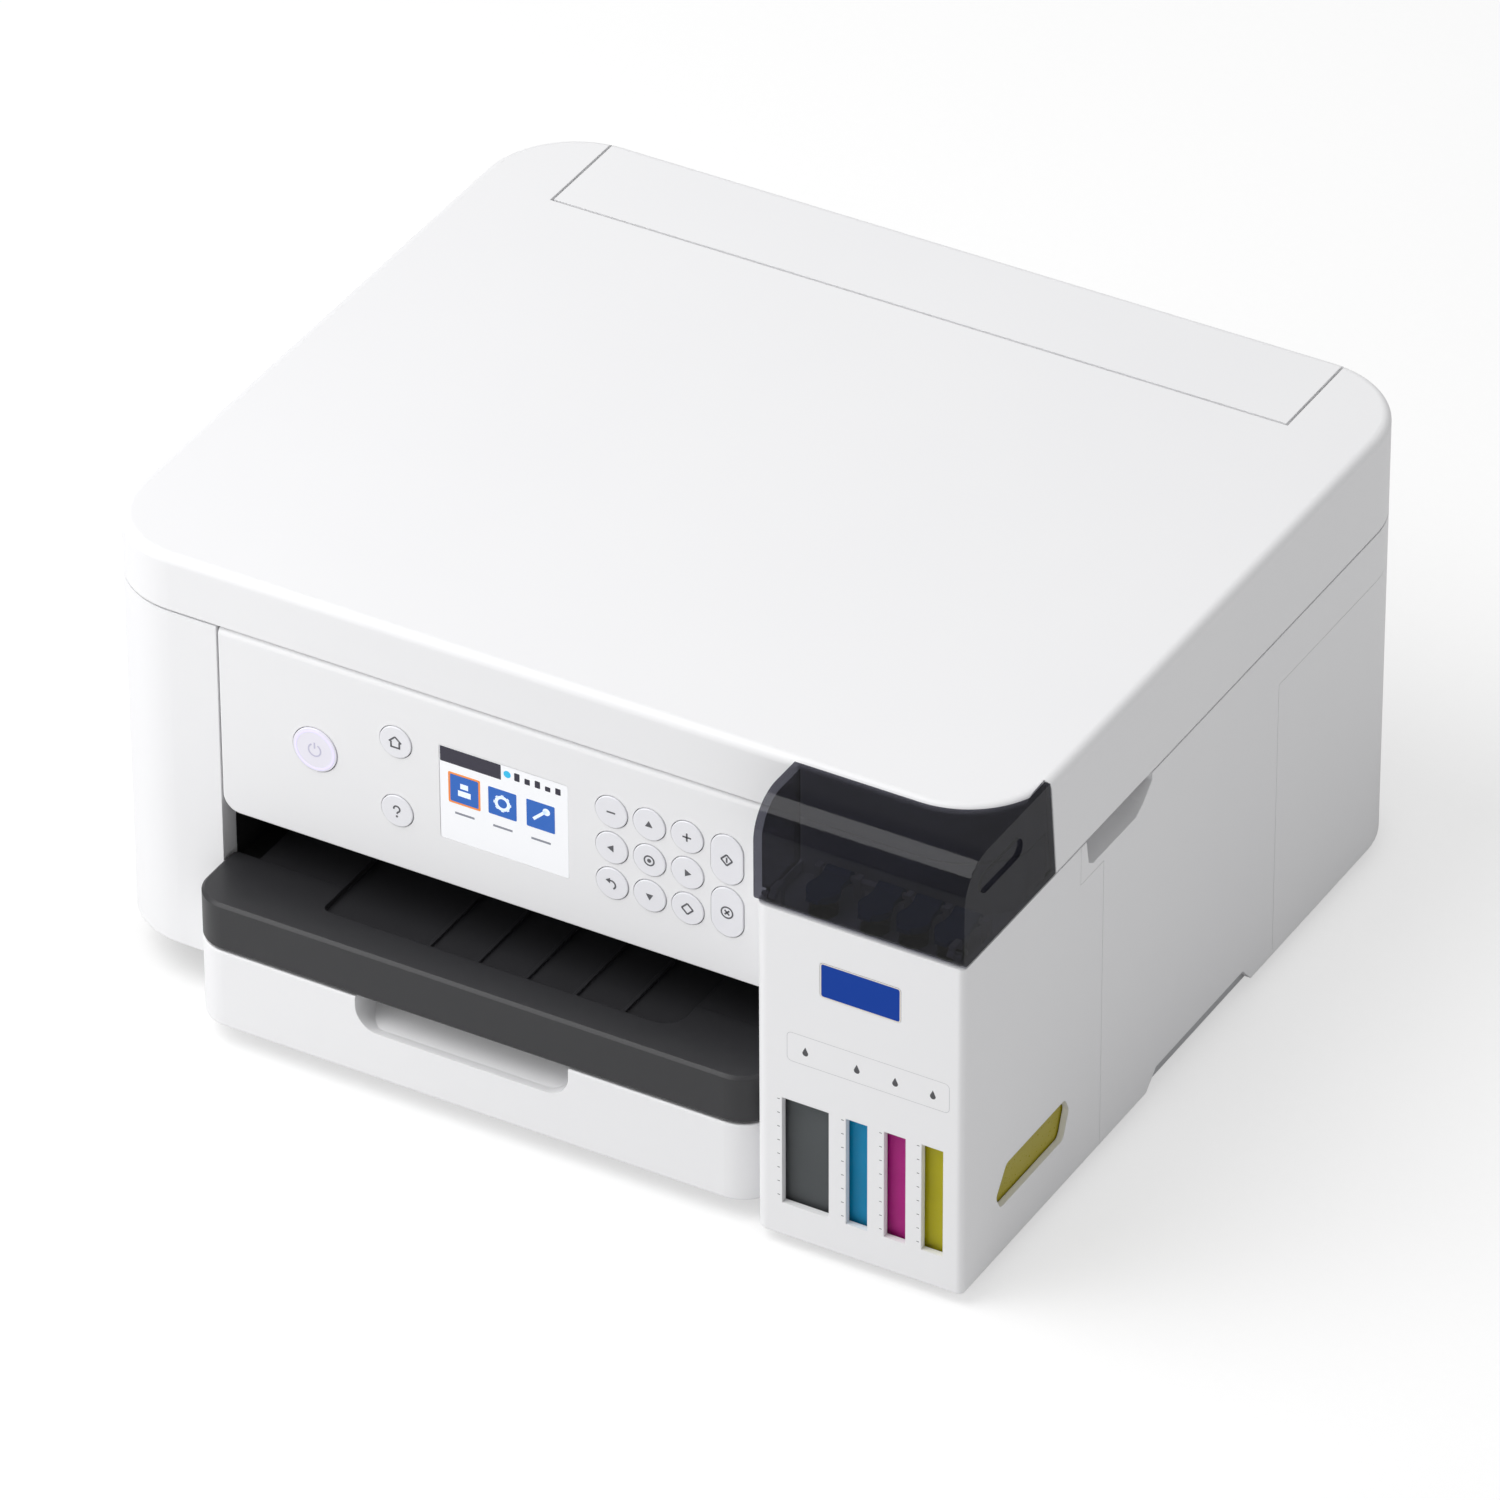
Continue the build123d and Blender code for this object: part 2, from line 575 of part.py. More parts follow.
with BuildPart() as name_plate:
    with BuildSketch(facing(FRONT)) as plate_face:
        with Locations(PLATE_CENTRE):
            RectangleRounded(PLATE_SIZE[0] - 0.2, PLATE_SIZE[1] - 0.2, 1.4)
    extrude(plate_face.sketch, amount=-PLATE_DEPTH)
save(name_plate, "name_plate")

# Filler caps: disc and plug on a barrel that turns on the rod
for cap_x, cap_name in zip(NECKS, ("cap_black", "cap_cyan", "cap_magenta", "cap_yellow")):
    with BuildPart() as cap:
        with Locations((cap_x, NECK_Y, NECK_TOP + 1.65)):
            Cylinder(CAP_RADIUS, 2.7)
        with Locations((cap_x, NECK_Y, NECK_TOP - 0.25)):
            Cylinder(NECK_BORE - 0.5, 2.5)
        barrel = (cap_x - CAP_WIDTH / 2, cap_x + CAP_WIDTH / 2)
        block(barrel, (NECK_Y, CAP_HINGE[0]), (NECK_TOP + 0.9, NECK_TOP + 3.0))
        bar_x(CAP_HINGE, 2.4, barrel)
        bar_x(CAP_HINGE, CAP_ROD + RUN, barrel, Mode.SUBTRACT)
        block(
            (cap_x - 2.5, cap_x + 2.5),
            (NECK_Y - CAP_RADIUS - 2.0, NECK_Y - CAP_RADIUS + 1),
            (NECK_TOP + 1.5, NECK_TOP + 3.0),
        )
    save(cap, cap_name)

# Control panel: tilting front plate with a display and sprung buttons
PANEL_X = (BAY_LEFT + 0.5, TANK_LEFT - 0.7)
PANEL_DEPTH = 12.0
BUTTON_TRAVEL = 0.8
BUTTON_PROUD = 0.5
BUTTON_GAP = 0.3
BUTTON_LIP = 0.6
KEY = 6.5  # radius of the small keys
KEY_PITCH = 15.4
KEYPAD_Z = 123.7
OVAL_X = TANK_LEFT - 0.1172 * length(PANEL_X)
OVAL_HEIGHT = 20.8
KEYPAD_X = OVAL_X - 31.5
LEFT_KEYS_X = PANEL_X[0] + 0.3123 * length(PANEL_X)


# Display between the left keys and the keypad
display_bay = (LEFT_KEYS_X + KEY, KEYPAD_X - KEY_PITCH - KEY)
DISPLAY_SIZE = (length(display_bay) - 23.0, 39.8)
DISPLAY_CENTRE = (middle(display_bay), 123.8)

# Name, X, Z, half width and height of each button
buttons = [
    ("button_power", PANEL_X[0] + 0.1689 * length(PANEL_X), KEYPAD_Z, 9.1, 18.2),
    ("button_home", LEFT_KEYS_X, KEYPAD_Z + 14.9, KEY, 2 * KEY),
    ("button_help", LEFT_KEYS_X, KEYPAD_Z - 14.9, KEY, 2 * KEY),
]
keypad_names = (
    ("button_back", "button_down", "button_function"),
    ("button_left", "button_ok", "button_right"),
    ("button_minus", "button_up", "button_plus"),
)
for row, names in enumerate(keypad_names):
    for column, key_name in enumerate(names):
        key_x = KEYPAD_X + (column - 1) * KEY_PITCH
        key_z = KEYPAD_Z + (row - 1) * KEY_PITCH
        buttons.append((key_name, key_x, key_z, KEY, 2 * KEY))
buttons.append(("button_start", OVAL_X, KEYPAD_Z + 11.3, KEY, OVAL_HEIGHT))
buttons.append(("button_stop", OVAL_X, KEYPAD_Z - 11.3, KEY, OVAL_HEIGHT))


def button_outline(y, x, z, half_width, height, grow=0.0):
    # Round or upright oval outline in a plane seen from the front
    with BuildSketch(facing(y)) as outline:
        with Locations((x, z)):
            if height > 2 * half_width:
                SlotOverall(height + 2 * grow, 2 * (half_width + grow), rotation=90)
            else:
                Circle(half_width + grow)
    return outline.sketch


with BuildPart() as control_panel:
    block(PANEL_X, (BODY_FRONT, BODY_FRONT + PANEL_DEPTH), (PANEL_BOTTOM, BODY_TOP_FRONT))
    fillet(control_panel.edges().filter_by(Axis.X).group_by(Axis.Y)[0].sort_by(Axis.Z)[-1], 3.0)
    fillet(control_panel.edges().filter_by(Axis.Y).group_by(Axis.Z)[0].sort_by(Axis.X)[0], 7.0)
    fillet(control_panel.faces().sort_by(Axis.Z)[0].edges().sort_by(Axis.Y)[0], 0.8)
    block(
        (PANEL_X[0] + WALL, PANEL_X[1] - WALL),
        (BODY_FRONT + WALL, BODY_FRONT + PANEL_DEPTH + 1),
        (PANEL_BOTTOM + WALL + 2, BODY_TOP_FRONT - WALL - 3),
        Mode.SUBTRACT,
    )
    with BuildSketch(facing(BODY_FRONT - 1)) as display_hole:
        with Locations(DISPLAY_CENTRE):
            RectangleRounded(DISPLAY_SIZE[0] + 0.3, DISPLAY_SIZE[1] + 0.3, 1.0)
    extrude(display_hole.sketch, amount=-WALL - 2, mode=Mode.SUBTRACT)
    for _, key_x, key_z, half_width, height in buttons:
        hole = button_outline(BODY_FRONT - 1, key_x, key_z, half_width, height, BUTTON_GAP)
        extrude(hole, amount=-WALL - 2, mode=Mode.SUBTRACT)
    bar_x(PANEL_HINGE, PANEL_PIN, (PANEL_X[0] - WALL, PANEL_X[0] + 1))
    bar_x(PANEL_HINGE, PANEL_PIN, (PANEL_X[1] - 1, PANEL_X[1] + WALL))
save(control_panel, "control_panel")

for button_name, key_x, key_z, half_width, height in buttons:
    with BuildPart() as button:
        face = button_outline(BODY_FRONT - BUTTON_PROUD, key_x, key_z, half_width, height)
        extrude(face, amount=-WALL - BUTTON_PROUD - 0.3)
        fillet(button.faces().sort_by(Axis.Y)[0].edges(), 0.35)
        lip = button_outline(BODY_FRONT + WALL + 0.3, key_x, key_z, half_width, height, BUTTON_LIP)
        extrude(lip, amount=-1.0)
        stem = button_outline(BODY_FRONT + WALL + 1.2, key_x, key_z, 2.5, 5.0)
        extrude(stem, amount=-2.5)
    save(button, button_name)

with BuildPart() as display:
    with BuildSketch(facing(BODY_FRONT + 0.1)) as glass:
        with Locations(DISPLAY_CENTRE):
            RectangleRounded(*DISPLAY_SIZE, 0.8)
    extrude(glass.sketch, amount=-WALL)
    with BuildSketch(facing(BODY_FRONT + WALL)) as module:
        with Locations(DISPLAY_CENTRE):
            Rectangle(DISPLAY_SIZE[0] + 6, DISPLAY_SIZE[1] + 6)
    extrude(module.sketch, amount=-3.0)
save(display, "display")

# Output tray: wide lip in front, narrower plate behind that slides on the inner frame's ledges
DRAWER_X = (BAY_LEFT + 0.4, TANK_LEFT - SEAM)
DRAWER_CORNER = 14.0
LIP_BACK = DRAWER_FRONT + 32.5
TRAY_PLATE_X = (BAY_LEFT + 12.0, TANK_LEFT - 12.5)
TRAY_PLATE_BACK = DRAWER_FRONT + 147.5
TRAY_PLATE = 6.0
LEDGE_TOP = TRAY_TOP - TRAY_PLATE - SLIDE
RECESS_X = (PAPER_X - 71.0, PAPER_X + 75.3)
RECESS_DEPTH = 2.4
TRAY_RIBS = [PAPER_X - 27.2 + 20.1 * number for number in range(5)]

with BuildPart() as output_tray:
    with BuildSketch(Plane.XY.offset(TRAY_BOTTOM)) as lip:
        with Locations((middle(DRAWER_X), middle((DRAWER_FRONT, LIP_BACK)))):
            Rectangle(length(DRAWER_X), LIP_BACK - DRAWER_FRONT)
        fillet(lip.vertices().group_by(Axis.Y)[0], DRAWER_CORNER)
        fillet(lip.vertices().group_by(Axis.Y)[-1], 3.0)
    extrude(amount=TRAY_TOP - TRAY_BOTTOM)
    chamfer(output_tray.faces().sort_by(Axis.Z)[-1].edges(), 1.2)
    fillet(output_tray.faces().sort_by(Axis.Z)[0].edges(), 1.0)
    block(
        (DRAWER_X[0] + 14, DRAWER_X[1] - 14),
        (DRAWER_FRONT + WALL, LIP_BACK - WALL),
        (TRAY_BOTTOM - 1, TRAY_TOP - RECESS_DEPTH - 2),
        Mode.SUBTRACT,
    )
    block(TRAY_PLATE_X, (LIP_BACK - WALL, TRAY_PLATE_BACK), (TRAY_TOP - TRAY_PLATE, TRAY_TOP - 0.1))
    block(
        (TRAY_PLATE_X[0] + WALL, TRAY_PLATE_X[1] - WALL),
        (LIP_BACK, TRAY_PLATE_BACK - WALL),
        (TRAY_TOP - TRAY_PLATE - 1, TRAY_TOP - RECESS_DEPTH - 2),
        Mode.SUBTRACT,
    )
    # Ribbed recess for the sheets
    with BuildSketch(Plane.XY.offset(TRAY_TOP - RECESS_DEPTH)) as recess:
        with Locations((middle(RECESS_X), middle((DRAWER_FRONT + 15.7, TRAY_PLATE_BACK - 10)))):
            Rectangle(length(RECESS_X), TRAY_PLATE_BACK - DRAWER_FRONT - 25.7)
        fillet(recess.vertices().group_by(Axis.Y)[0].sort_by(Axis.X)[0], 3.0)
        fillet(recess.vertices().group_by(Axis.Y)[0].sort_by(Axis.X)[-1], 9.0)
    extrude(amount=RECESS_DEPTH + 1, mode=Mode.SUBTRACT)
    for rib_x in TRAY_RIBS:
        block(
            (rib_x - 0.7, rib_x + 0.7),
            (DRAWER_FRONT + 15.7, TRAY_PLATE_BACK - 10),
            (TRAY_TOP - RECESS_DEPTH - 0.5, TRAY_TOP - RECESS_DEPTH + 1.2),
        )
save(output_tray, "output_tray")

# Paper cassette: fascia with a grip pocket, sheet box behind it and a channel for the guide racks
CASSETTE_BOTTOM = FOOT + 3.2
CASSETTE_FLOOR = CASSETTE_BOTTOM + 5.0
CASSETTE_SIDE = CASSETTE_BOTTOM + 27.8
CASSETTE_INNER = TANK_LEFT - BAY_LEFT - 17.0
CASSETTE_WALL = 2.0
CASSETTE_BACK = BACK - 33.5
BOX_X = (PAPER_X - CASSETTE_INNER / 2, PAPER_X + CASSETTE_INNER / 2)
POCKET_X = (PAPER_X - 48.2, PAPER_X + 40.2)
POCKET_DEPTH = 18.0
POCKET_BOTTOM = CASSETTE_TOP - 13.3
GUIDE_Y = FRONT + 193.5
CHANNEL_HALF = 15.0
CHANNEL_BOTTOM = CASSETTE_FLOOR - 3.0
PINION_PIN = 2.0

# Rack and pinion of the sheet guides
MODULE = 1.25
TEETH = 14
PITCH_RADIUS = MODULE * TEETH / 2
PITCH = pi * MODULE
BACKLASH = 0.4
TOOTH_HALF = (PITCH / 2 - BACKLASH) / 2
RACK_Z = (CHANNEL_BOTTOM + 0.4, CASSETTE_FLOOR - 0.4)
GUIDE_HALF = CASSETTE_INNER / 2 - 4.75  # half of the widest sheet, plus half a millimetre
GUIDE_Y_SPAN = (GUIDE_Y - 50.0, GUIDE_Y + 70.0)
GUIDE_HEIGHT = 19.0

with BuildPart() as paper_cassette:
    with BuildSketch(Plane.XY.offset(CASSETTE_BOTTOM)) as fascia:
        with Locations((middle(DRAWER_X), middle((DRAWER_FRONT, LIP_BACK)))):
            Rectangle(length(DRAWER_X), LIP_BACK - DRAWER_FRONT)
        fillet(fascia.vertices().group_by(Axis.Y)[0], DRAWER_CORNER)
    extrude(amount=CASSETTE_TOP - CASSETTE_BOTTOM)
    fillet(paper_cassette.faces().sort_by(Axis.Z)[-1].edges().group_by(Axis.Y)[0], 0.8)
    fillet(paper_cassette.faces().sort_by(Axis.Z)[0].edges().group_by(Axis.Y)[0], 1.5)
    block(
        (BOX_X[0] - CASSETTE_WALL, BOX_X[1] + CASSETTE_WALL),
        (LIP_BACK - 1, CASSETTE_BACK),
        (CASSETTE_BOTTOM, CASSETTE_SIDE),
    )
    block(
        BOX_X,
        (DRAWER_FRONT + 4, CASSETTE_BACK - CASSETTE_WALL),
        (CASSETTE_FLOOR, CASSETTE_TOP + 1),
        Mode.SUBTRACT,
    )
    block(
        (BOX_X[0] + 3, BOX_X[1] - 3),
        (GUIDE_Y - CHANNEL_HALF, GUIDE_Y + CHANNEL_HALF),
        (CHANNEL_BOTTOM, CASSETTE_FLOOR + 1),
        Mode.SUBTRACT,
    )
    # Grip pocket with a rising floor
    block(
        (POCKET_X[0] - 2, POCKET_X[1] + 2),
        (DRAWER_FRONT + 3, DRAWER_FRONT + POCKET_DEPTH + 2),
        (POCKET_BOTTOM - 2, CASSETTE_TOP),
    )
    with BuildSketch(facing(DRAWER_FRONT - 1)) as pocket:
        with Locations((middle(POCKET_X), POCKET_BOTTOM + 10)):
            Rectangle(length(POCKET_X), 20)
        fillet(pocket.vertices().group_by(Axis.Y)[0], 9.5)
    extrude(amount=-POCKET_DEPTH - 1, mode=Mode.SUBTRACT)
    profile_x(
        [
            (DRAWER_FRONT + 2, POCKET_BOTTOM - 0.5),
            (DRAWER_FRONT + POCKET_DEPTH + 0.5, POCKET_BOTTOM - 0.5),
            (DRAWER_FRONT + POCKET_DEPTH + 0.5, POCKET_BOTTOM + 7),
        ],
        (POCKET_X[0] + 1.5, POCKET_X[1] - 1.5),
    )
    with Locations((PAPER_X, GUIDE_Y, (CHANNEL_BOTTOM + RACK_Z[1]) / 2)):
        Cylinder(PINION_PIN, RACK_Z[1] - CHANNEL_BOTTOM)
save(paper_cassette, "paper_cassette")


def tooth_half(height):
    # Half thickness of a tooth at a height above the pitch line
    return TOOTH_HALF - height * 0.364


def sheet_guide(side):
    # Upright sheet guide on a rack: side -1 is the left guide, +1 the right one
    outer = PAPER_X + side * (GUIDE_HALF + 2)
    inner = PAPER_X + side * GUIDE_HALF
    block(sorted((outer, inner)), GUIDE_Y_SPAN, (CASSETTE_FLOOR + 0.4, CASSETTE_FLOOR + GUIDE_HEIGHT))
    block(
        sorted((outer, inner - side * 16)),
        GUIDE_Y_SPAN,
        (CASSETTE_FLOOR + 0.4, CASSETTE_FLOOR + 2.0),
    )
    rack_y = sorted((GUIDE_Y + side * 13.4, GUIDE_Y + side * (PITCH_RADIUS + 1.4)))
    block(sorted((outer - side * 2, inner - side * 12)), rack_y, (RACK_Z[0], CASSETTE_FLOOR + 1))
    rack_end = PAPER_X - side * (PITCH * 3)
    block(sorted((inner, rack_end)), rack_y, RACK_Z)
    with BuildSketch(Plane.XY.offset(RACK_Z[0])) as teeth:
        count = int((GUIDE_HALF - 16) / PITCH) + 3
        for number in range(count):
            tooth_x = PAPER_X + side * PITCH * (number - 2.5)
            with Locations((tooth_x, GUIDE_Y)):
                Polygon(
                    (-tooth_half(-1.5), side * (PITCH_RADIUS + 1.5)),
                    (-tooth_half(MODULE), side * (PITCH_RADIUS - MODULE)),
                    (tooth_half(MODULE), side * (PITCH_RADIUS - MODULE)),
                    (tooth_half(-1.5), side * (PITCH_RADIUS + 1.5)),
                    align=None,
                )
    extrude(teeth.sketch, amount=length(RACK_Z))


with BuildPart() as guide_left:
    sheet_guide(-1)
save(guide_left, "guide_left")

with BuildPart() as guide_right:
    sheet_guide(1)
save(guide_right, "guide_right")

with BuildPart() as guide_pinion:
    with BuildSketch(Plane.XY.offset(RACK_Z[0])) as wheel:
        with Locations((PAPER_X, GUIDE_Y)):
            Circle(PITCH_RADIUS - 1.5)
            with PolarLocations(0, TEETH, start_angle=90):
                Polygon(
                    (PITCH_RADIUS - 2.0, -tooth_half(-1.5)),
                    (PITCH_RADIUS - 1.4, -tooth_half(-1.5)),
                    (PITCH_RADIUS + 1.0, -tooth_half(1.0)),
                    (PITCH_RADIUS + 1.0, tooth_half(1.0)),
                    (PITCH_RADIUS - 1.4, tooth_half(-1.5)),
                    (PITCH_RADIUS - 2.0, tooth_half(-1.5)),
                    align=None,
                )
            Circle(PINION_PIN + RUN, mode=Mode.SUBTRACT)
    extrude(amount=length(RACK_Z))
save(guide_pinion, "guide_pinion")

# Base tray: floor plate, low rim and runners beside the cassette
BASE_TOP = FOOT + 2.4

with BuildPart() as base_tray:
    extrude(plan(FOOT, WALL + SEAT), amount=2.4 + 11)
    extrude(plan(BASE_TOP, 2 * WALL + SEAT), amount=12, mode=Mode.SUBTRACT)
    with BuildSketch(Plane.XY.offset(FOOT - 1)) as base_shape:
        with BuildLine():
            Polyline(
                (BAY_LEFT - WALL, BODY_FRONT + 15),
                (TANK_LEFT - SEAT, BODY_FRONT + 15),
                (TANK_LEFT - SEAT, TANK_SEAM_Y),
                (RIGHT, TANK_SEAM_Y),
                (RIGHT, BACK),
                (LEFT, BACK),
                (LEFT, BODY_FRONT + 58),
                (BAY_LEFT - WALL, BODY_FRONT + 58),
                close=True,
            )
        make_face()
    extrude(amount=20, mode=Mode.INTERSECT)
    for runner in (BOX_X[0] - CASSETTE_WALL - 0.5 - 2, BOX_X[1] + CASSETTE_WALL + 0.5):
        block((runner, runner + 2), (BODY_FRONT + 16, CASSETTE_BACK), (BASE_TOP - 0.5, BASE_TOP + 11))
save(base_tray, "base_tray")

# Rubber feet under the base and the tank housing
FOOT_RADIUS = 9.0

with BuildPart() as feet:
    with Locations(
        (BAY_LEFT + 14, BODY_FRONT + 32, FOOT / 2),
        (RIGHT - 26, FRONT + 26, FOOT / 2),
        (LEFT + 32, BACK - 36, FOOT / 2),
        (RIGHT - 32, BACK - 36, FOOT / 2),
    ):
        Cylinder(FOOT_RADIUS, FOOT)
    chamfer(feet.edges().group_by(Axis.Z)[0], 0.8)
save(feet, "feet")

# Inner frame: cheeks of the drawer bay, ledges of the output tray and the cover over the paper exit
FRAME_BACK = DRAWER_FRONT + 148.0
FRAME_FRONT = BODY_FRONT + REVEAL + SEAT
FRAME_ROOF = PANEL_BOTTOM + 2.0
ROOF_BACK = FRAME_BACK - 32.0
CHEEK_TOP = TRAY_TOP + 3.0

with BuildPart() as inner_frame:
    for cheek, cheek_front, cheek_bottom in (
        ((BAY_LEFT - WALL, BAY_LEFT), FRAME_FRONT, BASE_TOP),
        ((TANK_LEFT, TANK_LEFT + WALL), STEP_Y + SEAT, FOOT + WALL + SEAT),
    ):
        profile_x(
            [
                (cheek_front, cheek_bottom),
                (FRAME_BACK, cheek_bottom),
                (FRAME_BACK, CHEEK_TOP),
                (ROOF_BACK, CHEEK_TOP),
                (ROOF_BACK, FRAME_ROOF + WALL),
                (cheek_front, FRAME_ROOF + WALL),
            ],
            cheek,
        )
    block(
        (BAY_LEFT - WALL, TANK_LEFT - SEAT),
        (BODY_FRONT + 17.5, ROOF_BACK),
        (FRAME_ROOF, FRAME_ROOF + WALL),
    )
    block(
        (TANK_LEFT - 1, TANK_LEFT + WALL),
        (STEP_Y + SEAT, ROOF_BACK),
        (FRAME_ROOF, FRAME_ROOF + WALL),
    )
    block(
        (BAY_LEFT - WALL, TANK_LEFT - SEAT),
        (BODY_FRONT + 17.5, BODY_FRONT + 20),
        (FRAME_ROOF, BODY_TOP - 4),
    )
    ledge_z = (LEDGE_TOP - 3.0, LEDGE_TOP)
    block((BAY_LEFT - 1, TRAY_PLATE_X[0] + 3), (FRAME_FRONT, FRAME_BACK), ledge_z)
    block((TRAY_PLATE_X[1] - 3, TANK_LEFT - SEAT), (FRAME_FRONT, FRAME_BACK), ledge_z)
    block((TANK_LEFT - 1, TANK_LEFT + 1), (STEP_Y + SEAT, FRAME_BACK), ledge_z)
save(inner_frame, "inner_frame")

# Paper path heights and the main frame that carries shafts and rollers
PAPER_Z = 75.0
FEED_RADIUS = 5.0
FEED_PULLEY = 12.0
EXIT_PULLEY = 8.0
MOTOR_PULLEY = 6.0
EXIT_RADIUS = FEED_RADIUS * EXIT_PULLEY / FEED_PULLEY
FEED_AXIS = (FRONT + 201.5, PAPER_Z - FEED_RADIUS)
EXIT_AXIS = (FRONT + 128.5, PAPER_Z - EXIT_RADIUS)
FEED_MOTOR_AXIS = (FRONT + 165.5, 38.0)
PLATE = 1.5
FRAME_X = (LEFT + 35.5, RIGHT - 22.5)
BACK_PLATE_Y = FRONT + 217.5
BACK_PLATE_Z = (PAPER_Z + 25.0, BODY_TOP - 1.7)
ROD_AXIS = (FRONT + 161.5, 112.0)
ROD_RADIUS = 4.0
BELT_Z = 110.0
BELT_PULLEY = 6.0
BELT_GAP = 0.3
BELT_THICK = 1.1
BELT_Y = (FRONT + 207.5, FRONT + 212.5)
MOTOR_X = LEFT + 46.5
IDLER_X = RIGHT - 32.5
PULLEY_SHAFT = 2.0

with BuildPart() as main_frame:
    for plate_x in ((FRAME_X[0], FRAME_X[0] + PLATE), (FRAME_X[1] - PLATE, FRAME_X[1])):
        profile_x(
            [
                (FRONT + 115, BASE_TOP),
                (BACK_PLATE_Y + PLATE, BASE_TOP),
                (BACK_PLATE_Y + PLATE, BACK_PLATE_Z[1]),
                (BACK_PLATE_Y - 22, BACK_PLATE_Z[1]),
                (FRONT + 140, BACK_PLATE_Z[1] - 14),
                (FRONT + 115, 90.0),
            ],
            plate_x,
        )
    block(FRAME_X, (BACK_PLATE_Y, BACK_PLATE_Y + PLATE), BACK_PLATE_Z)
    block(FRAME_X, (BACK_PLATE_Y - 10, BACK_PLATE_Y + 1), (BACK_PLATE_Z[1] - PLATE, BACK_PLATE_Z[1]))
    both = (FRAME_X[0] - 1, FRAME_X[1] + 1)
    bar_x(FEED_AXIS, FEED_RADIUS + RUN, both, Mode.SUBTRACT)
    bar_x(EXIT_AXIS, EXIT_RADIUS + RUN, both, Mode.SUBTRACT)
    bar_x(ROD_AXIS, ROD_RADIUS + 0.02, both, Mode.SUBTRACT)
    bar_x(FEED_MOTOR_AXIS, PULLEY_SHAFT + 0.4, (FRAME_X[0] - 1, FRAME_X[0] + 5), Mode.SUBTRACT)
    with BuildSketch(facing(BACK_PLATE_Y - 1)) as shaft_holes:
        with Locations((MOTOR_X, BELT_Z)):
            Circle(PULLEY_SHAFT + 0.4)
        with Locations((IDLER_X, BELT_Z)):
            Circle(PULLEY_SHAFT + RUN)
    extrude(shaft_holes.sketch, amount=-PLATE - 2, mode=Mode.SUBTRACT)
save(main_frame, "main_frame")

with BuildPart() as carriage_rod:
    bar_x(ROD_AXIS, ROD_RADIUS, (FRAME_X[0] - 2, FRAME_X[1] + 2))
save(carriage_rod, "carriage_rod")

# Print carriage, parked at the right over the capping station
CARRIAGE_X = (RIGHT - 86.5, RIGHT - 32.5)
CARRIAGE_TRAVEL = 248.0

with BuildPart() as carriage:
    with BuildSketch(Plane.YZ.offset(CARRIAGE_X[0])) as carriage_side:
        with BuildLine():
            Polyline(
                (FRONT + 128, PAPER_Z + 8),
                (FRONT + 201, PAPER_Z + 8),
                (FRONT + 201, PAPER_Z + 56),
                (FRONT + 150, PAPER_Z + 58),
                (FRONT + 128, PAPER_Z + 38),
                close=True,
            )
        make_face()
        fillet(carriage_side.vertices().group_by(Axis.Y)[-1], 6.0)
        fillet(carriage_side.vertices().group_by(Axis.X)[0].sort_by(Axis.Y)[-1], 6.0)
    extrude(amount=length(CARRIAGE_X))
    fillet(carriage.edges().filter_by(Axis.Z), 2.0)
    block(
        (CARRIAGE_X[0] + 8, CARRIAGE_X[1] - 8),
        (FRONT + 140, FRONT + 185),
        (PAPER_Z + 1.5, PAPER_Z + 9),
    )
    jaw_x = (middle(CARRIAGE_X) - 8, middle(CARRIAGE_X) + 8)
    run_z = BELT_Z - BELT_PULLEY - BELT_GAP
    for jaw_z in ((run_z + 0.4, run_z + 2.0), (run_z - BELT_THICK - 2.0, run_z - BELT_THICK - 0.4)):
        block(jaw_x, (FRONT + 200, BELT_Y[1] + 0.5), jaw_z)
    bar_x(ROD_AXIS, ROD_RADIUS + RUN, (CARRIAGE_X[0] - 1, CARRIAGE_X[1] + 1), Mode.SUBTRACT)
save(carriage, "carriage")


def belt_pulley(x):
    # Flanged pulley with its shaft through the back plate
    with BuildSketch(facing(BELT_Y[0] - 0.3)) as drum:
        with Locations((x, BELT_Z)):
            Circle(BELT_PULLEY)
    extrude(drum.sketch, amount=-length(BELT_Y) - 0.6)
    for flange_y in (BELT_Y[0] - 1.1, BELT_Y[1] + 0.3):
        with BuildSketch(facing(flange_y)) as flange:
            with Locations((x, BELT_Z)):
                Circle(BELT_PULLEY + 2.0)
        extrude(flange.sketch, amount=-0.8)
    with BuildSketch(facing(BELT_Y[1])) as shaft:
        with Locations((x, BELT_Z)):
            Circle(PULLEY_SHAFT)
    extrude(shaft.sketch, amount=-(BACK_PLATE_Y + PLATE + 6 - BELT_Y[1]))


with BuildPart() as carriage_pulley:
    belt_pulley(MOTOR_X)
save(carriage_pulley, "carriage_pulley")

with BuildPart() as idler_pulley:
    belt_pulley(IDLER_X)
save(idler_pulley, "idler_pulley")

with BuildPart() as carriage_belt:
    with BuildSketch(facing(BELT_Y[0])) as belt_loop:
        with Locations(((MOTOR_X + IDLER_X) / 2, BELT_Z)):
            inside = BELT_PULLEY + BELT_GAP
            SlotCenterToCenter(IDLER_X - MOTOR_X, 2 * (inside + BELT_THICK))
            SlotCenterToCenter(IDLER_X - MOTOR_X, 2 * inside, mode=Mode.SUBTRACT)
    extrude(amount=-length(BELT_Y))
save(carriage_belt, "carriage_belt")

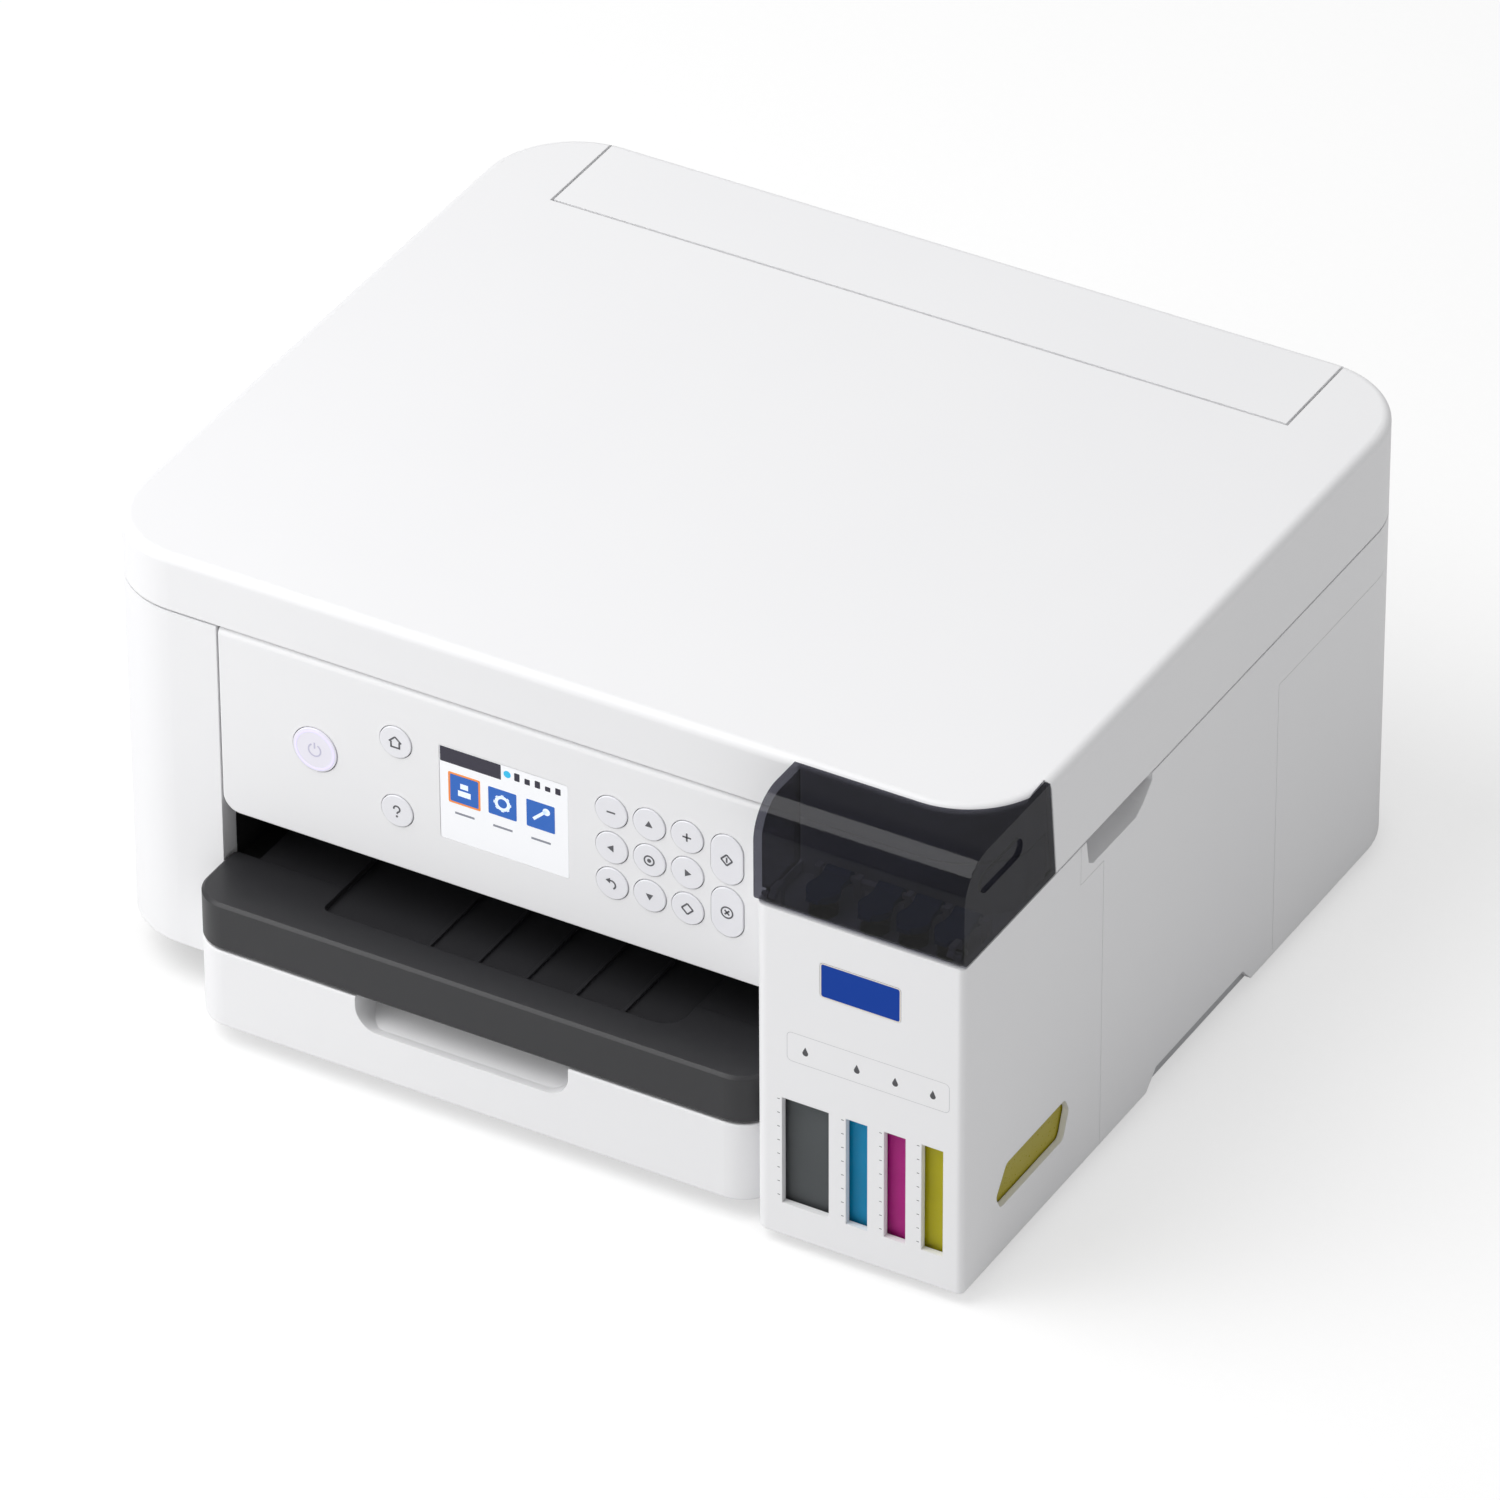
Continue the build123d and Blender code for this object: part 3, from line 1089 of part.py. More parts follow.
with BuildPart() as carriage_motor:
    with BuildSketch(facing(BACK_PLATE_Y + PLATE)) as motor_can:
        with Locations((MOTOR_X, BELT_Z)):
            Circle(9.0)
            Circle(PULLEY_SHAFT + RUN, mode=Mode.SUBTRACT)
    extrude(amount=-34)
    fillet(carriage_motor.faces().sort_by(Axis.Y)[-1].edges().sort_by(Axis.X)[0], 1.5)
save(carriage_motor, "carriage_motor")

# Rollers, their pulleys and the feed belt, all outside the main frame's left plate
PULLEY_X = (FRAME_X[0] - 7.5, FRAME_X[0] - 1.0)

with BuildPart() as feed_roller:
    bar_x(FEED_AXIS, FEED_RADIUS, (PULLEY_X[0], FRAME_X[1] + 2))
    bar_x(FEED_AXIS, FEED_PULLEY, PULLEY_X)
save(feed_roller, "feed_roller")

with BuildPart() as exit_roller:
    bar_x(EXIT_AXIS, EXIT_RADIUS - 0.8, (PULLEY_X[0], FRAME_X[1] + 2))
    bar_x(EXIT_AXIS, EXIT_PULLEY, PULLEY_X)
    for end_x in (FRAME_X[0], FRAME_X[1] - PLATE):
        bar_x(EXIT_AXIS, EXIT_RADIUS, (end_x - 0.5, end_x + PLATE + 0.5))
    for number in range(6):
        roll_x = PAPER_X + (number - 2.5) * 36
        bar_x(EXIT_AXIS, EXIT_RADIUS, (roll_x - 5, roll_x + 5))
save(exit_roller, "exit_roller")

with BuildPart() as feed_motor:
    bar_x(FEED_MOTOR_AXIS, 6.5, (FRAME_X[0] + PLATE, FRAME_X[0] + PLATE + 3))
    bar_x(FEED_MOTOR_AXIS, 5.6, (FRAME_X[0] + PLATE + 2, BAY_LEFT - WALL - 1))
    bar_x(FEED_MOTOR_AXIS, PULLEY_SHAFT + RUN, (FRAME_X[0], FRAME_X[0] + 12), Mode.SUBTRACT)
save(feed_motor, "feed_motor")

with BuildPart() as feed_motor_pulley:
    bar_x(FEED_MOTOR_AXIS, MOTOR_PULLEY, PULLEY_X)
    bar_x(FEED_MOTOR_AXIS, PULLEY_SHAFT, (PULLEY_X[0], FRAME_X[0] + 10))
save(feed_motor_pulley, "feed_motor_pulley")


def belt_hull(x, grow):
    # Taut outline round the three pulleys
    with BuildSketch(Plane.YZ.offset(x)) as hull:
        with BuildLine():
            for centre, radius in (
                (FEED_AXIS, FEED_PULLEY),
                (EXIT_AXIS, EXIT_PULLEY),
                (FEED_MOTOR_AXIS, MOTOR_PULLEY),
            ):
                CenterArc(centre, radius + grow, 0, 360)
        make_hull()
    return hull.sketch


with BuildPart() as feed_belt:
    extrude(belt_hull(PULLEY_X[0] + 1, BELT_GAP + BELT_THICK), amount=length(PULLEY_X) - 2)
    extrude(belt_hull(PULLEY_X[0] + 1, BELT_GAP), amount=length(PULLEY_X) - 2, mode=Mode.SUBTRACT)
save(feed_belt, "feed_belt")

# Platen with its ribs under the carriage
with BuildPart() as platen:
    block((FRAME_X[0] + PLATE + SEAT, TANK_LEFT + 2.3), (EXIT_AXIS[0] + 7, FEED_AXIS[0] - 8), (68.0, 70.0))
    with Locations((PAPER_X, middle((EXIT_AXIS[0] + 7, FEED_AXIS[0] - 8)), (69.5 + PAPER_Z - 0.5) / 2)):
        with GridLocations(18, 0, 12, 1):
            Box(1.6, FEED_AXIS[0] - EXIT_AXIS[0] - 19, PAPER_Z - 0.5 - 69.5)
save(platen, "platen")

# Capping station below the parked carriage
with BuildPart() as capping_station:
    station_x = (TANK_LEFT + WALL + SEAT, FRAME_X[1] - PLATE - SEAT)
    block(station_x, (FRONT + 132, FRONT + 190), (BASE_TOP, PAPER_Z - 6))
    block(
        (CARRIAGE_X[0] + 12, CARRIAGE_X[1] - 12),
        (FRONT + 144, FRONT + 181),
        (PAPER_Z - 7, PAPER_Z + 1),
    )
    block(
        (CARRIAGE_X[0] + 14, CARRIAGE_X[1] - 14),
        (FRONT + 146, FRONT + 179),
        (PAPER_Z - 3, PAPER_Z + 2),
        Mode.SUBTRACT,
    )
save(capping_station, "capping_station")

# Rear feed guide: sloping sheet slot below the flap, on side walls that also carry the pickup roller
SLOT_LOW = (FEED_AXIS[0] + 11, PAPER_Z + 2)
SLOT_HIGH = (BACK - 23, HEIGHT - 19)
SLOT_WIDTH = 13.0
PICKUP_AXIS = (BACK - 78.5, 49.0)
PICKUP_RADIUS = 12.0
PICKUP_SHAFT = 3.0
slope = atan2(SLOT_HIGH[1] - SLOT_LOW[1], SLOT_HIGH[0] - SLOT_LOW[0])
slot_side = (BOX_X[0] - CASSETTE_WALL - 4.0, BOX_X[1] + CASSETTE_WALL + 4.0)


def slot_point(along, above):
    # Point beside the slot's floor: along it from the low end, and above it
    return (
        SLOT_LOW[0] + along * cos(slope) - above * sin(slope),
        SLOT_LOW[1] + along * sin(slope) + above * cos(slope),
    )


slot_length = (SLOT_HIGH[0] - SLOT_LOW[0]) / cos(slope)

with BuildPart() as rear_feed_guide:
    profile_x(
        [slot_point(0, 0), slot_point(slot_length, 0), slot_point(slot_length, -2), slot_point(0, -2)],
        slot_side,
    )
    upper = slot_length - 8
    profile_x(
        [
            slot_point(30, SLOT_WIDTH),
            slot_point(upper, SLOT_WIDTH),
            slot_point(upper, SLOT_WIDTH + 2),
            slot_point(30, SLOT_WIDTH + 2),
        ],
        slot_side,
    )
    for wall_x in ((slot_side[0], slot_side[0] + 1.5), (slot_side[1] - 1.5, slot_side[1])):
        profile_x(
            [
                slot_point(0, -2),
                slot_point(28, SLOT_WIDTH + 2),
                slot_point(upper, SLOT_WIDTH + 2),
                slot_point(slot_length, 0),
                (SLOT_HIGH[0], BASE_TOP),
                (PICKUP_AXIS[0] - 15, BASE_TOP),
                (PICKUP_AXIS[0] - 15, PAPER_Z - 10),
            ],
            wall_x,
        )
        bar_x(PICKUP_AXIS, PICKUP_SHAFT + RUN, wall_x, Mode.SUBTRACT)
save(rear_feed_guide, "rear_feed_guide")

with BuildPart() as pickup_roller:
    bar_x(PICKUP_AXIS, PICKUP_SHAFT, (slot_side[0] - 2, slot_side[1] + 2))
    for roll in ((PAPER_X - 30, PAPER_X - 12), (PAPER_X + 12, PAPER_X + 30)):
        bar_x(PICKUP_AXIS, PICKUP_RADIUS, roll)
save(pickup_roller, "pickup_roller")

# Power supply beside the cassette and its inlet in the back wall
SUPPLY_X = (slot_side[1] + 4.5, RIGHT - 10)

with BuildPart() as power_supply:
    block(SUPPLY_X, (BACK_PLATE_Y + PLATE + 14.5, BACK - 26), (BASE_TOP, BASE_TOP + 42))
    fillet(power_supply.edges().filter_by(Axis.Z), 2.0)
save(power_supply, "power_supply")

with BuildPart() as power_inlet:
    inlet_x = (INLET_X - INLET_SIZE[0] / 2 + SEAT, INLET_X + INLET_SIZE[0] / 2 - SEAT)
    inlet_z = (INLET_Z - INLET_SIZE[1] / 2 + SEAT, INLET_Z + INLET_SIZE[1] / 2 - SEAT)
    block(inlet_x, (BACK - 25.8, BACK - 0.3), inlet_z)
    with BuildSketch(facing(BACK)) as socket:
        with Locations((INLET_X, INLET_Z)):
            SlotOverall(15.0, 8.4)
    extrude(amount=16, mode=Mode.SUBTRACT)
    with BuildSketch(facing(BACK - 4)) as contacts:
        with GridLocations(8.0, 0, 2, 1):
            with Locations((INLET_X, INLET_Z)):
                Circle(1.2)
    extrude(amount=13)
save(power_inlet, "power_inlet")
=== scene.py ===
import json
import math

import bmesh
import bpy
from mathutils import Matrix, Vector


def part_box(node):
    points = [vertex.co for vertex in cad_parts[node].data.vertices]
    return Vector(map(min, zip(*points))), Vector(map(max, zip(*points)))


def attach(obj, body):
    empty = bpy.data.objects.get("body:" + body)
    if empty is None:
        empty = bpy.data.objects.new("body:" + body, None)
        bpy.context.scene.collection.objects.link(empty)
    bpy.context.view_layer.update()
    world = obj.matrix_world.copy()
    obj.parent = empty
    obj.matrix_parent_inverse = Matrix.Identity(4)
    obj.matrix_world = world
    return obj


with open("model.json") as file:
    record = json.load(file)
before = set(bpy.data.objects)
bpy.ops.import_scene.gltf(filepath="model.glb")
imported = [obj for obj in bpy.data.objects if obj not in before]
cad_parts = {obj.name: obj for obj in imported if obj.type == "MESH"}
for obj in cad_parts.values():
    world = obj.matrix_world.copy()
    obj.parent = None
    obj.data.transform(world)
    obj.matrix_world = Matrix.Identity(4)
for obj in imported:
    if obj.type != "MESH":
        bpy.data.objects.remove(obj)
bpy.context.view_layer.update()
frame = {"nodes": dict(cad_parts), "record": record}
nodes = frame["nodes"]

MM = 0.001


# Helpers


def linear(hex_colour, share=1.0):
    # sRGB hex to the linear colour that a shader socket takes, scaled by share
    channels = [int(hex_colour[i : i + 2], 16) / 255 for i in (1, 3, 5)]
    light = [c / 12.92 if c <= 0.04045 else ((c + 0.055) / 1.055) ** 2.4 for c in channels]
    return (*[share * c for c in light], 1.0)


def add_node(tree, kind, sockets=(), links=(), **settings):
    # One node with its settings, socket values and incoming links
    node = tree.nodes.new(kind)
    for name, value in settings.items():
        setattr(node, name, value)
    for name, value in dict(sockets).items():
        node.inputs[name].default_value = value
    for name, source in dict(links).items():
        tree.links.new(source, node.inputs[name])
    return node


def new_material(name):
    material = bpy.data.materials.new(name)
    material.use_nodes = True
    tree = material.node_tree
    shader = tree.nodes["Principled BSDF"]
    return material, tree, shader


def add_object(name, data):
    thing = bpy.data.objects.new(name, data)
    bpy.context.scene.collection.objects.link(thing)
    return thing


# Materials. A noise scale is the number of its cells per metre.

CLOUD_SCALE = 9.0  # flow clouding of moulded plastic, about 110 mm
DEPTH_SCALE = 25.0  # slow change of colour in the ink, 40 mm
FILM_SCALE = 900.0  # unevenness of a printed film, 1.1 mm
PIXEL_SCALE = 2500.0  # pixels of the display film, 0.4 mm
ROLLING_SCALE = 6.0  # length of the marks along worked metal, about 170 mm
CLEAR_EDGE_MM = 0.4
BEVEL_SAMPLES = 4


def moulded(name, colour, second, roughness, grain_mm, depth_mm, edge_mm=0.5):
    # Injection-moulded plastic: spark-eroded grain in the bump, faint flow clouding in the colour
    material, tree, shader = new_material(name)
    place = add_node(tree, "ShaderNodeTexCoord")
    clouds = add_node(
        tree,
        "ShaderNodeTexNoise",
        {"Scale": CLOUD_SCALE, "Detail": 3.0, "Roughness": 0.5},
        {"Vector": place.outputs["Object"]},
    )
    blend = add_node(
        tree,
        "ShaderNodeMix",
        {"A": linear(colour), "B": linear(second)},
        {"Factor": clouds.outputs["Fac"]},
        data_type="RGBA",
    )
    grain = add_node(
        tree,
        "ShaderNodeTexNoise",
        {"Scale": 1 / (grain_mm * MM), "Detail": 2.0, "Roughness": 0.55},
        {"Vector": place.outputs["Object"]},
    )
    rough = add_node(
        tree,
        "ShaderNodeMapRange",
        {"To Min": roughness - 0.05, "To Max": roughness + 0.05},
        {"Value": grain.outputs["Fac"]},
    )
    edge = add_node(tree, "ShaderNodeBevel", {"Radius": edge_mm * MM}, samples=BEVEL_SAMPLES)
    bump = add_node(
        tree,
        "ShaderNodeBump",
        {"Strength": 0.5, "Distance": depth_mm * MM},
        {"Height": grain.outputs["Fac"], "Normal": edge.outputs["Normal"]},
    )
    tree.links.new(blend.outputs["Result"], shader.inputs["Base Color"])
    tree.links.new(rough.outputs["Result"], shader.inputs["Roughness"])
    tree.links.new(bump.outputs["Normal"], shader.inputs["Normal"])
    return material


def clear_plastic(name, colour, roughness, face_shine, ripple_mm=16.0):
    # Clear moulded wall: light goes straight through, tinted at each face; the outside shines
    material, tree, shader = new_material(name)
    tree.nodes.remove(shader)
    place = add_node(tree, "ShaderNodeTexCoord")
    ripple = add_node(
        tree,
        "ShaderNodeTexNoise",
        {"Scale": 1 / (ripple_mm * MM), "Detail": 1.0},
        {"Vector": place.outputs["Object"]},
    )
    haze = add_node(
        tree,
        "ShaderNodeMapRange",
        {"To Min": roughness * 0.7, "To Max": roughness * 1.3},
        {"Value": ripple.outputs["Fac"]},
    )
    tint = add_node(
        tree,
        "ShaderNodeMix",
        {"A": linear(colour, 0.94), "B": linear(colour)},
        {"Factor": ripple.outputs["Fac"]},
        data_type="RGBA",
    )
    through = add_node(tree, "ShaderNodeBsdfTransparent", {}, {"Color": tint.outputs["Result"]})
    edge = add_node(tree, "ShaderNodeBevel", {"Radius": CLEAR_EDGE_MM * MM}, samples=BEVEL_SAMPLES)
    shine = add_node(
        tree,
        "ShaderNodeBsdfGlossy",
        {},
        {"Roughness": haze.outputs["Result"], "Normal": edge.outputs["Normal"]},
    )
    # The share of the shine rises from the face-on value to that of a grazing view
    view = add_node(tree, "ShaderNodeLayerWeight", {"Blend": 0.5})
    rise = add_node(
        tree, "ShaderNodeMath", {1: 4.0}, {0: view.outputs["Facing"]}, operation="POWER"
    )
    share = add_node(
        tree,
        "ShaderNodeMapRange",
        {"To Min": face_shine, "To Max": 0.45},
        {"Value": rise.outputs["Value"]},
    )
    side = add_node(tree, "ShaderNodeNewGeometry")
    outside = add_node(
        tree, "ShaderNodeMath", {0: 1.0}, {1: side.outputs["Backfacing"]}, operation="SUBTRACT"
    )
    factor = add_node(
        tree,
        "ShaderNodeMath",
        {},
        {0: share.outputs["Result"], 1: outside.outputs["Value"]},
        operation="MULTIPLY",
    )
    wall = add_node(
        tree,
        "ShaderNodeMixShader",
        {},
        {"Fac": factor.outputs["Value"], 1: through.outputs["BSDF"], 2: shine.outputs["BSDF"]},
    )
    tree.links.new(wall.outputs["Shader"], tree.nodes["Material Output"].inputs["Surface"])
    return material


def metal(name, colour, roughness, along, pitch_mm):
    # Sheet or ground metal: fine marks along one axis from rolling or grinding
    material, tree, shader = new_material(name)
    place = add_node(tree, "ShaderNodeTexCoord")
    stretch = [1 / (pitch_mm * MM)] * 3
    stretch[along] = ROLLING_SCALE
    scaled = add_node(
        tree, "ShaderNodeMapping", {"Scale": stretch}, {"Vector": place.outputs["Object"]}
    )
    marks = add_node(
        tree,
        "ShaderNodeTexNoise",
        {"Scale": 1.0, "Detail": 2.0},
        {"Vector": scaled.outputs["Vector"]},
    )
    rough = add_node(
        tree,
        "ShaderNodeMapRange",
        {"To Min": roughness - 0.08, "To Max": roughness + 0.1},
        {"Value": marks.outputs["Fac"]},
    )
    tree.links.new(rough.outputs["Result"], shader.inputs["Roughness"])
    shader.inputs["Base Color"].default_value = linear(colour)
    shader.inputs["Metallic"].default_value = 1.0
    return material


def ink(name, colour):
    # Dye ink against the tank wall: saturated and still; it wets the wall, so it mirrors little
    material, tree, shader = new_material(name)
    place = add_node(tree, "ShaderNodeTexCoord")
    depth = add_node(
        tree,
        "ShaderNodeTexNoise",
        {"Scale": DEPTH_SCALE, "Detail": 1.0},
        {"Vector": place.outputs["Object"]},
    )
    blend = add_node(
        tree,
        "ShaderNodeMix",
        {"A": linear(colour, 0.9), "B": linear(colour, 1.1)},
        {"Factor": depth.outputs["Fac"]},
        data_type="RGBA",
    )
    tree.links.new(blend.outputs["Result"], shader.inputs["Base Color"])
    shader.inputs["Roughness"].default_value = 0.3
    shader.inputs["Specular IOR Level"].default_value = 0.15
    return material


def printed(name, colour, roughness=0.45, shine=0.5):
    # Pad-printed ink: a thin matt layer with a slightly uneven film
    material, tree, shader = new_material(name)
    place = add_node(tree, "ShaderNodeTexCoord")
    film = add_node(
        tree,
        "ShaderNodeTexNoise",
        {"Scale": FILM_SCALE, "Detail": 2.0},
        {"Vector": place.outputs["Object"]},
    )
    rough = add_node(
        tree,
        "ShaderNodeMapRange",
        {"To Min": roughness - 0.08, "To Max": roughness + 0.08},
        {"Value": film.outputs["Fac"]},
    )
    tree.links.new(rough.outputs["Result"], shader.inputs["Roughness"])
    shader.inputs["Base Color"].default_value = linear(colour)
    shader.inputs["Specular IOR Level"].default_value = shine
    return material


def lit(name, colour, strength):
    # Back-lit film of the display or of the ring round a key
    material, tree, shader = new_material(name)
    place = add_node(tree, "ShaderNodeTexCoord")
    pixels = add_node(
        tree,
        "ShaderNodeTexNoise",
        {"Scale": PIXEL_SCALE, "Detail": 1.0},
        {"Vector": place.outputs["Object"]},
    )
    rough = add_node(
        tree,
        "ShaderNodeMapRange",
        {"To Min": 0.18, "To Max": 0.3},
        {"Value": pixels.outputs["Fac"]},
    )
    tree.links.new(rough.outputs["Result"], shader.inputs["Roughness"])
    shader.inputs["Base Color"].default_value = linear(colour)
    shader.inputs["Emission Color"].default_value = linear(colour)
    shader.inputs["Emission Strength"].default_value = strength
    return material


finishes = {
    # White ABS with a fine satin spark texture: bright, soft highlights
    "shell_white": moulded("ABS_white_spark_textured", "#F2F2F3", "#EEEEF0", 0.42, 0.35, 0.02),
    # Smoked polycarbonate, polished in the mould: nearly black, blue-grey where light passes
    "smoke_clear": clear_plastic("polycarbonate_smoked_polished", "#9E9EA6", 0.08, 0.022),
    # Charcoal ABS, satin: a broad dull sheen on the tray lip
    "tray_charcoal": moulded("ABS_charcoal_satin", "#2B2B2E", "#272729", 0.42, 0.4, 0.02),
    # Black glass-filled plastic of the inner parts: dull and light-absorbing
    "frame_black": moulded("PS_black_glass_filled", "#161617", "#1B1B1C", 0.6, 0.5, 0.03),
    # Grey base plate, coarser texture
    "base_grey": moulded("ABS_grey_base", "#B9B9BC", "#B0B0B3", 0.55, 0.6, 0.03),
    # Rubber feet: matt and slightly bloomed
    "foot_rubber": moulded("rubber_feet_moulded", "#2A2A2A", "#363636", 0.8, 0.8, 0.04),
    # Blow-moulded tank: milky clear, soft glints
    "tank_clear": clear_plastic("PP_tank_blow_moulded", "#FAFCFC", 0.2, 0.012),
    # Dye inks, seen through the tank wall
    "ink_black": ink("dye_ink_black", "#5B5B5D"),
    "ink_cyan": ink("dye_ink_cyan", "#0098CC"),
    "ink_magenta": ink("dye_ink_magenta", "#CC1E90"),
    "ink_yellow": ink("dye_ink_yellow", "#D0C018"),
    # Soft moulded elastomer caps in dark blue: no sharp glint
    "cap_blue": moulded("TPE_cap_blue", "#2C5CA4", "#3264AE", 0.6, 0.6, 0.03),
    # Blue printed plate under clear lacquer
    "plate_blue": printed("enamel_plate_blue", "#003C9E", 0.4, 0.15),
    # Display film behind its window, lit from behind
    "display_glass": lit("display_film_white", "#F4F5F8", 0.12),
    # Keys in the panel's white, a shade smoother from polishing
    "key_white": moulded("ABS_white_key", "#EFEFF3", "#EBEBF0", 0.36, 0.3, 0.01, 0.3),
    # The power key lets its own light through: a hint of lilac
    "key_lit": moulded("ABS_white_key_translucent", "#F1EFF8", "#ECEAF5", 0.34, 0.3, 0.01, 0.3),
    # Galvanised sheet of the main frame, rolled along its length
    "steel_sheet": metal("steel_sheet_galvanised", "#B4B6B8", 0.42, 0, 0.5),
    # Ground rod and screws: bright, with fine grinding marks
    "steel_ground": metal("steel_rod_ground", "#C9CACC", 0.2, 1, 0.4),
    # Plated motor can, drawn: duller than the rod
    "motor_metal": metal("steel_motor_can_plated", "#9C9EA1", 0.35, 1, 0.6),
    # Flame-safe case of the power supply, moulded: black and half matt
    "supply_metal": moulded("PPE_black_supply_case", "#1E1E20", "#242426", 0.5, 0.5, 0.03),
    # Paper-feed rubber, ground to size: dark grey and dull
    "roller_rubber": moulded("EPDM_roller_ground", "#3A3C3E", "#444648", 0.75, 0.4, 0.04),
    # Moulded toothed belts: black and matt
    "belt_rubber": moulded("polyurethane_belt", "#1C1C1E", "#222224", 0.65, 0.5, 0.03),
    # Uncoloured acetal of gears and pulleys, moulded: warm white and slippery
    "acetal_white": moulded("acetal_natural", "#E4E3DC", "#DEDDD6", 0.35, 0.5, 0.01),
    # Grey ABS of the sheet guides, moulded: soft sheen
    "guide_grey": moulded("ABS_grey_guides", "#8C9096", "#868A90", 0.5, 0.4, 0.02),
}

slot_of = {part["node"]: part["material_slot"] for part in frame["record"]["subparts"]}
for node_name, node in nodes.items():
    node.data.materials.clear()
    node.data.materials.append(finishes[slot_of[node_name]])


# Sizes that the signs and small pieces share with the solids, in millimetres

BODY_FRONT = -143.5
KEY_FACE = BODY_FRONT - 0.5
TANK_FRONT = -173.5
PRINT = 0.02  # thickness of a printed film on the outermost faces
SUNK = 0.02  # how far a film's back lies inside its face


def centre_of(node_name):
    low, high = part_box(node_name)
    return (low + high) / 2 / MM


def finish_mesh(name, mesh_builder, body, material):
    mesh = bpy.data.meshes.new(name)
    mesh_builder.to_mesh(mesh)
    mesh_builder.free()
    piece = add_object(name, mesh)
    mesh.materials.append(material)
    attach(piece, body)
    return piece


# Flat signs: outlines in a front plane, given as (x, z) points in millimetres


def bar(x0, z0, x1, z1, width):
    dx, dz = x1 - x0, z1 - z0
    run = math.hypot(dx, dz)
    nx, nz = -dz / run * width / 2, dx / run * width / 2
    return [(x0 + nx, z0 + nz), (x0 - nx, z0 - nz), (x1 - nx, z1 - nz), (x1 + nx, z1 + nz)]


def path(points, width):
    return [bar(*start, *end, width) for start, end in zip(points, points[1:])]


def round_points(x, z, radius, angles):
    return [(x + radius * math.cos(a), z + radius * math.sin(a)) for a in angles]


def disc(x, z, radius, sides=24, first=0):
    # Regular outline, its first corner at an angle in degrees
    turn = [math.radians(first) + 2 * math.pi * i / sides for i in range(sides)]
    return round_points(x, z, radius, turn)


def band(outer, inner):
    # Quads between two rows of points
    ends = zip(outer, inner, inner[1:], outer[1:])
    return [list(quad) for quad in ends]


def arc(x, z, radius, width, start, end, steps=20):
    # Arc as a band of quads, angles in degrees
    turn = [math.radians(start + (end - start) * i / steps) for i in range(steps + 1)]
    outer = round_points(x, z, radius + width / 2, turn)
    return band(outer, round_points(x, z, radius - width / 2, turn))


def rounded(x0, z0, x1, z1, radius, steps=5):
    corners = ((x1 - radius, z1 - radius, 0), (x0 + radius, z1 - radius, 90))
    corners += ((x0 + radius, z0 + radius, 180), (x1 - radius, z0 + radius, 270))
    points = []
    for x, z, first in corners:
        turn = [math.radians(first + 90 * i / steps) for i in range(steps + 1)]
        points += round_points(x, z, radius, turn)
    return points


def square(x, z, half, radius):
    return rounded(x - half, z - half, x + half, z + half, radius)


def rim(x0, z0, x1, z1, radius, width):
    # Band inside a rounded rectangle, as quads between its two outlines
    outer = rounded(x0, z0, x1, z1, radius)
    inner = rounded(x0 + width, z0 + width, x1 - width, z1 - width, max(radius - width, 0.1))
    return band(outer + outer[:1], inner + inner[:1])


def drop(x, z, radius):
    turn = [math.radians(-200 + 220 * i / 23) for i in range(24)]
    return round_points(x, z, radius, turn) + [(x, z + radius * 2.3)]


def sign(name, outlines, y, body, material, thickness=0.08):
    # Thin printed film, standing just proud of the face at y
    builder = bmesh.new()
    for outline in outlines:
        front = [builder.verts.new((x * MM, (y - thickness) * MM, z * MM)) for x, z in outline]
        back = [builder.verts.new((x * MM, (y + SUNK) * MM, z * MM)) for x, z in outline]
        builder.faces.new(front)
        builder.faces.new(back[::-1])
        count = len(outline)
        for i in range(count):
            j = (i + 1) % count
            builder.faces.new((front[i], back[i], back[j], front[j]))
    bmesh.ops.recalc_face_normals(builder, faces=builder.faces)
    return finish_mesh(name, builder, body, material)


# Plain signs for the keys, drawn about the key's centre

STROKE = 0.55
RING_WIDTH = 0.5
DIAMOND = path([(-2, 0), (0, 2), (2, 0), (0, -2), (-2, 0)], STROKE)
LEVEL_BAR = bar(-1.5, 0, 1.5, 0, STROKE)
pictograms = {
    "minus": [LEVEL_BAR],
    "plus": [LEVEL_BAR, bar(0, -1.5, 0, 1.5, STROKE)],
    "ok": arc(0, 0, 1.7, RING_WIDTH, 0, 360) + [disc(0, 0, 0.7)],
    "back": arc(-0.2, -0.4, 1.5, STROKE, -60, 110, 12) + [[(-2.2, 1.0), (-0.6, 2.0), (-0.6, 0.0)]],
    "function": DIAMOND,
    "home": [
        *path([(-2.2, 0.1), (0, 2.1), (2.2, 0.1)], STROKE),
        bar(-1.5, 0.3, -1.5, -1.8, STROKE),
        bar(1.5, 0.3, 1.5, -1.8, STROKE),
        bar(-1.75, -1.8, 1.75, -1.8, STROKE),
    ],
    "help": [
        *arc(0, 0.8, 1.1, STROKE, -60, 190, 12),
        bar(0.5, -0.1, 0, -0.9, STROKE),
        disc(0, -1.9, 0.4),
    ],
    "power": arc(0, 0, 2.2, RING_WIDTH, 120, 420) + [bar(0, 0.6, 0, 2.8, RING_WIDTH)],
    "start": DIAMOND + [bar(0, -0.9, 0, 0.9, STROKE)],
    "stop": [
        *arc(0, 0, 2.0, RING_WIDTH, 0, 360),
        bar(-0.8, -0.8, 0.8, 0.8, STROKE),
        bar(-0.8, 0.8, 0.8, -0.8, STROKE),
    ],
}
for kind, turn in {"right": 0, "up": 90, "left": 180, "down": 270}.items():
    pictograms[kind] = [disc(0, 0, 1.5, 3, turn)]

SIGN_SIZE = 1.15

